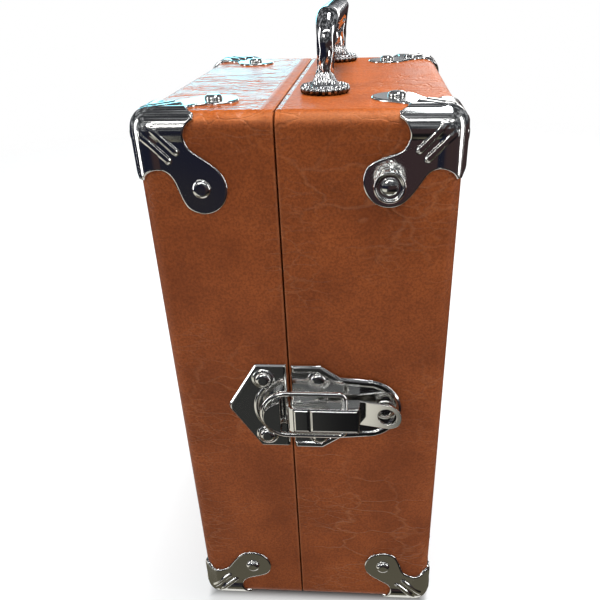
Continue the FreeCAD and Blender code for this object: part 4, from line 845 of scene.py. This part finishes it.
class TesterSizes(PropertyGroup):
    """Sizes of the pressed and turned hardware."""
    edge: length("Case edge", "Radius of the case edges", 8.5)
    sheet: length("Sheet", "Thickness of a corner plate", 1.2)
    bead: length("Bead", "Radius of the bead along a case edge", 10.5)
    lip: length("Lip", "Length of a corner plate along a case edge", 31.5)
    bite_s: length("Bite along", "Centre of the bite along the edge", 34.4)
    bite_t: length("Bite in", "Centre of the bite in from the edge", 11.0)
    bite: length("Bite", "Radius of the bite", 8.0)
    lobe_in: length("Lobe in", "Centre of the lobe in from both edges", 33.6)
    skew: length("Lobe skew", "How far the lobe lies off the diagonal", 1.6)
    lobe: length("Lobe", "Radius of the lobe", 13.0)
    rib: length("Rib", "Height of the pressed ribs", 1.1)
    roll: length("Rolled rim", "Radius of the plate's free rim", 0.9)
    rivet: length("Rivet", "Radius of a rivet head", 4.6)
    rivet_rise: length("Rivet height", "Height of a rivet head", 2.2)
    post: length("Strap button", "Radius of the strap button", 7.8)
    post_reach: length("Button reach", "Length of the strap button", 10.6)
    handle_x: length("Handle place", "X of the handle's feet", 10.4)
    handle_front: length("Handle front", "Distance of the near foot from the front", 55.0)
    handle_pitch: length("Handle pitch", "Distance between the feet", 141.0)
    handle_rise: length("Handle height", "Height of the grip over the case", 39.8)
    handle_bend: length("Handle bend", "Radius of the bends", 11.5)
    grip_wide: length("Grip width", "Width of the grip", 13.0)
    grip_thick: length("Grip thickness", "Thickness of the grip", 10.5)
    foot: length("Handle foot", "Radius of a foot", 13.6)


class TesterCase(PropertyGroup):
    """Colours of the covering."""
    tan: colour("Tan", "Main tone of the covering", (0.39, 0.092, 0.016))
    deep: colour("Deep tan", "Darker tone of the covering", (0.25, 0.055, 0.009))
    dark: colour("Pore", "Tone in the pores of the grain", (0.13, 0.026, 0.004))
    # Scuff colour: pale creases and wear, and the painted highlight along the seam and the front
    # top edge.
    scuff_and_highlight: colour("Scuff", "Pale tone along creases and edges", (0.6, 0.25, 0.11))


class TesterChrome(PropertyGroup):
    """Colours of the plated pieces."""
    plate: colour("Plate", "Clean plate", (0.76, 0.755, 0.75))
    dull: colour("Haze", "Hazy plate", (0.5, 0.48, 0.46))
    # Colour of the painted shade low round the handle's feet.
    foot_shade: colour("Grime", "Dirt round the handle's feet", (0.05, 0.045, 0.04))


class TesterStage(PropertyGroup):
    """Camera and light."""
    lens: FloatProperty(name="Lens", description="Focal length on a 36 mm sensor", default=38.88,
                        unit="CAMERA")
    window: power("Window", "Power of the window behind", 3.0)
    key: power("Key", "Power of the soft light in front", 3.0)
    strip: power("Strip", "Power of the long light above", 2.4)
    top: power("Top", "Power of the overhead light", 112.0)
    bar: power("Bar", "Power of the light mirrored overhead", 16.0)
    rear: power("Rear", "Power of the light behind the base", 2.5)
    side: power("Sides", "Power of the tall lights at the sides", 2.5)
    floor: length("Floor", "Radius of the floor", 1800.0)
    glow: FloatProperty(name="Glow", description="Light from the pale floor itself", default=0.6)


def sizes():
    """The size settings in millimetres."""
    group = bpy.context.scene.tester_sizes
    return SimpleNamespace(**{key: getattr(group, key) / MM for key in TesterSizes.__annotations__})


# Steps.

class PieceOperator:
    """Shared settings of the steps."""
    bl_options = {"REGISTER", "UNDO"}


class TESTER_OT_covering(PieceOperator, Operator):
    """Leatherette of both halves"""
    bl_idname = "tester.covering"
    bl_label = "Covering"

    def execute(self, context):
        polished(leatherette(), "base_covering", "lid_covering")
        return {"FINISHED"}


class TESTER_OT_wood(PieceOperator, Operator):
    """Plywood trays and the cleats under the panel"""
    bl_idname = "tester.wood"
    bl_label = "Wood"

    def execute(self, context):
        dress(plywood(), "base_box", "lid_box", "panel_cleats")
        return {"FINISHED"}


class TESTER_OT_corners(PieceOperator, Operator):
    """Eight pressed corner plates"""
    bl_idname = "tester.corners"
    bl_label = "Corner plates"

    def execute(self, context):
        size, plate = sizes(), shared_chrome()
        for node, point, inward in case_corners():
            put(node + ".pressed", corner_mesh(size, node, point, inward), plate, [node])
        return {"FINISHED"}


class TESTER_OT_rivets(PieceOperator, Operator):
    """Rivets of the corner plates and the latch, and the strap post"""
    bl_idname = "tester.rivets"
    bl_label = "Rivets and strap post"

    def execute(self, context):
        size, plate = sizes(), shared_chrome()
        shells = {"lid": [], "base": []}
        for node, point, inward in case_corners():
            for face, seat, axis in corner_seats(size, point, inward):
                if node == "corner_base_top_front" and face == 1:
                    post = mesh_of("strap_post", [strap_post(size, seat, axis)])
                else:
                    shells[node.split("_")[1]].append(rivet_shell(size, seat, axis))
        put("strap_post", post, plate, ["strap_button"])
        for half in shells:
            shells[half] += [rivet_shell(size, seat, (0, -1, 0)) for seat in latch_seats(half)]
            node = half + "_rivets"
            put(node + ".domed", mesh_of(node, shells[half], RIVET_CREASE), plate, [node])
        return {"FINISHED"}


class TESTER_OT_handle(PieceOperator, Operator):
    """Arched handle on two beaded feet"""
    bl_idname = "tester.handle"
    bl_label = "Handle"

    def execute(self, context):
        size = sizes()
        shells = [handle_arch(size)] + [handle_foot(size, side) for side in (-1, 1)]
        put("handle.cast", mesh_of("handle", shells), cast_chrome(), ["handle"])
        return {"FINISHED"}


class TESTER_OT_latch(PieceOperator, Operator):
    """Catch, base plate, lever, bail and pin of the drawbolt"""
    bl_idname = "tester.latch"
    bl_label = "Drawbolt"

    def execute(self, context):
        polished(shared_chrome(), "latch_catch", "latch_plate", "latch_lever", "latch_bail",
                 "latch_pin", bevel=LATCH_BEVEL)
        return {"FINISHED"}


class TESTER_OT_hinges(PieceOperator, Operator):
    """Hinges with pins and screws, bolts, and the nickelled fittings of the panel"""
    bl_idname = "tester.hinges"
    bl_label = "Hinges"

    def execute(self, context):
        nickel = mottled("steel", (0.58, 0.575, 0.56), (0.47, 0.46, 0.44), 0.3, 1.0, 90.0)
        polished(nickel, "hinge_base_leaves", "hinge_lid_leaves", "hinge_base_screws",
                 "hinge_lid_screws", "hinge_pins", "handle_bolts", "panel_screws",
                 "power_switch_bat", "test_button_bezel", "pilot_lamp_bezel")
        return {"FINISHED"}


class TESTER_OT_panel(PieceOperator, Operator):
    """Painted panel with its numbers and switch words"""
    bl_idname = "tester.panel"
    bl_label = "Panel"

    def execute(self, context):
        dress(wrinkle_paint(), "panel")
        face = PANEL_FACE - INK_LIFT
        turns = range(-KNOB_END, KNOB_END + KNOB_STEP, KNOB_STEP)
        words = [word for at in KNOB_AT for word in numbers(face, at[1:], NUMBER_RING, turns)]
        _, y, z = box_mm("power_switch_body").mean(0)
        words += [(text, (face, y, z + up), WORD_TALL) for text, up in SWITCH_WORDS.items()]
        ink = mottled("legend_ink", (0.8, 0.74, 0.6), (0.7, 0.64, 0.5), 0.5)
        lettering("panel_numbers", words, ink)
        return {"FINISHED"}


class TESTER_OT_meter(PieceOperator, Operator):
    """Meter case, dial card with scale and numbers, needle and window"""
    bl_idname = "tester.meter"
    bl_label = "Meter"

    def execute(self, context):
        swing = next(joint for joint in RECORD["behaviour"]["joints"] if joint["child"] == "needle")
        pivot = np.array(swing["pos_m"]) / MM
        sweep = swing["range_deg"][1] - swing["range_deg"][0]
        dress(dial_card(pivot[1:], SCALE_RADIUS, sweep), "meter_dial")
        face = box_mm("meter_dial")[0, 0] - INK_LIFT
        turns = [sweep * (number / 100 - 0.5) for number in range(0, 101, SCALE_STEP)]
        words = numbers(face, pivot[1:], SCALE_RADIUS + SCALE_GAP, turns, SCALE_STEP)
        ink = mottled("dial_ink", (0.015, 0.015, 0.015), (0.03, 0.03, 0.03), 0.6)
        lettering("dial_numbers", words, ink)
        black = mottled("phenolic_meter", (0.012, 0.011, 0.01), (0.03, 0.026, 0.022), 0.22)
        polished(black, "meter_case", bevel=METER_BEVEL)
        polished(mottled("needle", (0.02, 0.02, 0.02), (0.04, 0.035, 0.03), 0.4), "meter_pointer")
        dress(clear_glass(), "meter_window")
        return {"FINISHED"}


class TESTER_OT_controls(PieceOperator, Operator):
    """Selector knobs and shafts, test button, pilot lens and cable gland"""
    bl_idname = "tester.controls"
    bl_label = "Controls"

    def execute(self, context):
        moulding = knob_moulding()
        brass = mottled("brass", (0.62, 0.44, 0.17), (0.5, 0.34, 0.12), 0.3, 1.0, 120.0)
        for node in KNOBS:
            polished(moulding, node, bevel=KNOB_BEVEL)
            polished(brass, node.replace("knob", "shaft"))
        red = mottled("red_plastic", (0.5, 0.02, 0.012), (0.36, 0.012, 0.008), 0.2, Coat_Weight=0.4)
        polished(red, "test_button", "pilot_lamp_lens")
        rubber = mottled("rubber", (0.016, 0.016, 0.017), (0.035, 0.034, 0.033), 0.7)
        polished(rubber, "mains_gland")
        return {"FINISHED"}


class TESTER_OT_sockets(PieceOperator, Operator):
    """Tube sockets, fuse holder and switch bodies in black moulding"""
    bl_idname = "tester.sockets"
    bl_label = "Sockets"

    def execute(self, context):
        black = mottled("phenolic", (0.014, 0.012, 0.011), (0.034, 0.028, 0.023), 0.28)
        polished(black, "octal_socket_1", "octal_socket_2", "noval_sockets", "miniature_sockets",
                 "fuse_holder", "selector_switches", "power_switch_body")
        return {"FINISHED"}


class TESTER_OT_works(PieceOperator, Operator):
    """Transformer and component board behind the panel"""
    bl_idname = "tester.works"
    bl_label = "Works"

    def execute(self, context):
        polished(laminations(), "transformer_core")
        polished(wound_coil(), "transformer_coil")
        polished(layered_board(), "component_board")
        return {"FINISHED"}


class TESTER_OT_stage(PieceOperator, Operator):
    """Floor, surroundings, lights and camera"""
    bl_idname = "tester.stage"
    bl_label = "Stage"

    def execute(self, context):
        scene = context.scene
        look = scene.tester_stage
        scene.view_settings.view_transform = "Standard"
        add_floor(look.floor, look.glow)
        add_world()
        for name, row in LIGHTS.items():
            light = add_light(name, getattr(look, name), *row)
            light.visible_glossy = name != "top"
        size, (x, y, z), aim, tint = SIDE_LIGHT
        for sign in (-1, 1):
            add_light("side", look.side, size, (sign * x, y, z), aim, tint)
        add_camera(look.lens)
        return {"FINISHED"}


# Stage.

def add_floor(radius, glow):
    """A round pale floor: evenly spaced rings, faded out far away; its glow is taken away under the
    case as a painted shadow.
    """
    profile = [(ring, 0, 0) for ring in np.linspace(0.0, radius / MM, FLOOR_RINGS)]
    mesh = mesh_of("floor", [turned(profile, (0, 0, 0), (0, 0, 1), FLOOR_SPOKES)])
    f = Finish("floor", Roughness=0.8, Emission_Strength=glow)
    x, y, _ = f.axes(f.place)
    edge = (x * x + y * y).root().ramp(radius * 0.98, radius * 0.6)
    half = (CASE_HIGH - CASE_LOW) * MM / 2
    middle = (CASE_HIGH + CASE_LOW) * MM / 2
    away = (abs(x - middle[0]) - half[0]).greater(abs(y - middle[1]) - half[1])
    pale = f.blend(f.noise(4.0), (0.26, 0.26, 0.262, 1), (0.27, 0.27, 0.27, 1))
    # Painted shadow: the floor's glow goes to black under the case's footprint.
    bright = f.blend(away.ramp(-0.008, 0.003), (0, 0, 0, 1), (1, 1, 1, 1))
    f.set(Base_Color=pale, Emission_Color=bright, Alpha=edge)
    paint(mesh, f.material)
    floor = add_object("floor", mesh)
    floor.visible_glossy = False


def add_world():
    """Dim patchy surroundings for the bright plate to mirror; the camera sees plain white."""
    world = bpy.data.worlds.new("studio")
    bpy.context.scene.world = world
    world.use_nodes = True
    t = Tree(world.node_tree, "Generated")
    x, _, z = t.axes(t.place)
    patch = t.noise(5.0, 3.0, 0.6, None, 0.8).ramp(0.5, 0.62)
    sky = t.blend(patch, (0.035, 0.037, 0.042, 1), (0.42, 0.43, 0.45, 1))
    dim = t.blend(x.ramp(-0.3, 0.1), (0.01, 0.012, 0.026, 1), (0.045, 0.028, 0.03, 1))
    dim = t.blend(t.noise(9.0, 3.0).ramp(0.52, 0.7) * 0.5, dim, (0.06, 0.05, 0.025, 1))
    low = t.blend(x.ramp(-0.11, -0.03), (0.034, 0.035, 0.034, 1), (0.008, 0.008, 0.009, 1))
    low = t.blend(x.ramp(-0.3, -0.34), low, (0.8, 0.77, 0.68, 1))
    below = t.blend(z.ramp(-0.36, -0.46), dim, low)
    below = t.blend(z.ramp(-0.64, -0.74), below, (0.11, 0.1, 0.072, 1))
    below = t.blend(z.ramp(-0.9, -0.95), below, (0.9, 0.88, 0.84, 1))
    around = t.blend(z.ramp(-0.04, 0.03), below, sky)
    seen = t.make("ShaderNodeLightPath", {}, {}, "Is Camera Ray")
    t.feed(t.nodes["Background"].inputs[0], t.blend(seen, around, (1, 1, 1, 1)))


def add_light(name, watts, size, place, aim, tint):
    """A rectangular soft light turned to its aim."""
    lamp = bpy.data.lights.new(name, "AREA")
    lamp.shape = "RECTANGLE"
    lamp.size, lamp.size_y = size
    lamp.energy = watts
    lamp.color = tint
    light = add_object(name, lamp)
    light.location = place
    light.rotation_euler = (Vector(aim) - Vector(place)).to_track_quat("-Z", "Y").to_euler()
    return light


def add_camera(lens):
    """Camera in front of the latch, a little to the right, above the handle and turned down."""
    pitch, yaw, roll = [math.radians(v) for v in CAMERA_TURN]
    level = math.cos(pitch)
    ahead = Vector((math.sin(yaw) * level, math.cos(yaw) * level, -math.sin(pitch)))
    side = ahead.cross(Vector((0, 0, 1))).normalized()
    above = side.cross(ahead)
    right = math.cos(roll) * side + math.sin(roll) * above
    up = -math.sin(roll) * side + math.cos(roll) * above
    data = bpy.data.cameras.new("camera")
    data.lens = lens
    data.sensor_width = 36.0
    data.shift_x, data.shift_y = CAMERA_SHIFT
    data.clip_start = 0.01
    camera = add_object("camera", data)
    turn = Matrix((right, up, -ahead)).transposed().to_4x4()
    x, y, z = CAMERA_AT
    camera.matrix_world = Matrix.Translation((x, CASE_LOW[1] * MM + y, z)) @ turn
    bpy.context.scene.camera = camera


class TESTER_PT_panel(Panel):
    """Lists the steps that finish the tester."""
    bl_label = "Tube tester"
    bl_idname = "TESTER_PT_panel"
    bl_space_type = "VIEW_3D"
    bl_region_type = "UI"
    bl_category = "Tube tester"

    def draw(self, context):
        for step in STEPS:
            self.layout.operator(step.bl_idname)


STEPS = (TESTER_OT_covering, TESTER_OT_wood, TESTER_OT_corners, TESTER_OT_rivets, TESTER_OT_handle,
         TESTER_OT_latch, TESTER_OT_hinges, TESTER_OT_panel, TESTER_OT_meter, TESTER_OT_controls,
         TESTER_OT_sockets, TESTER_OT_works, TESTER_OT_stage)
GROUPS = {"tester_sizes": TesterSizes, "tester_case": TesterCase, "tester_chrome": TesterChrome,
          "tester_stage": TesterStage}
CLASSES = (*GROUPS.values(), *STEPS, TESTER_PT_panel)


def register():
    for kind in CLASSES:
        bpy.utils.register_class(kind)
    for name, kind in GROUPS.items():
        setattr(bpy.types.Scene, name, PointerProperty(type=kind))


def unregister():
    for name in GROUPS:
        delattr(bpy.types.Scene, name)
    for kind in reversed(CLASSES):
        bpy.utils.unregister_class(kind)


def main():
    """Register, and finish every piece in order."""
    register()
    bpy.ops.tester.covering()
    bpy.ops.tester.wood()
    bpy.ops.tester.corners()
    bpy.ops.tester.rivets()
    bpy.ops.tester.handle()
    bpy.ops.tester.latch()
    bpy.ops.tester.hinges()
    bpy.ops.tester.panel()
    bpy.ops.tester.meter()
    bpy.ops.tester.controls()
    bpy.ops.tester.sockets()
    bpy.ops.tester.works()
    bpy.ops.tester.stage()


if __name__ == "__main__":
    main()
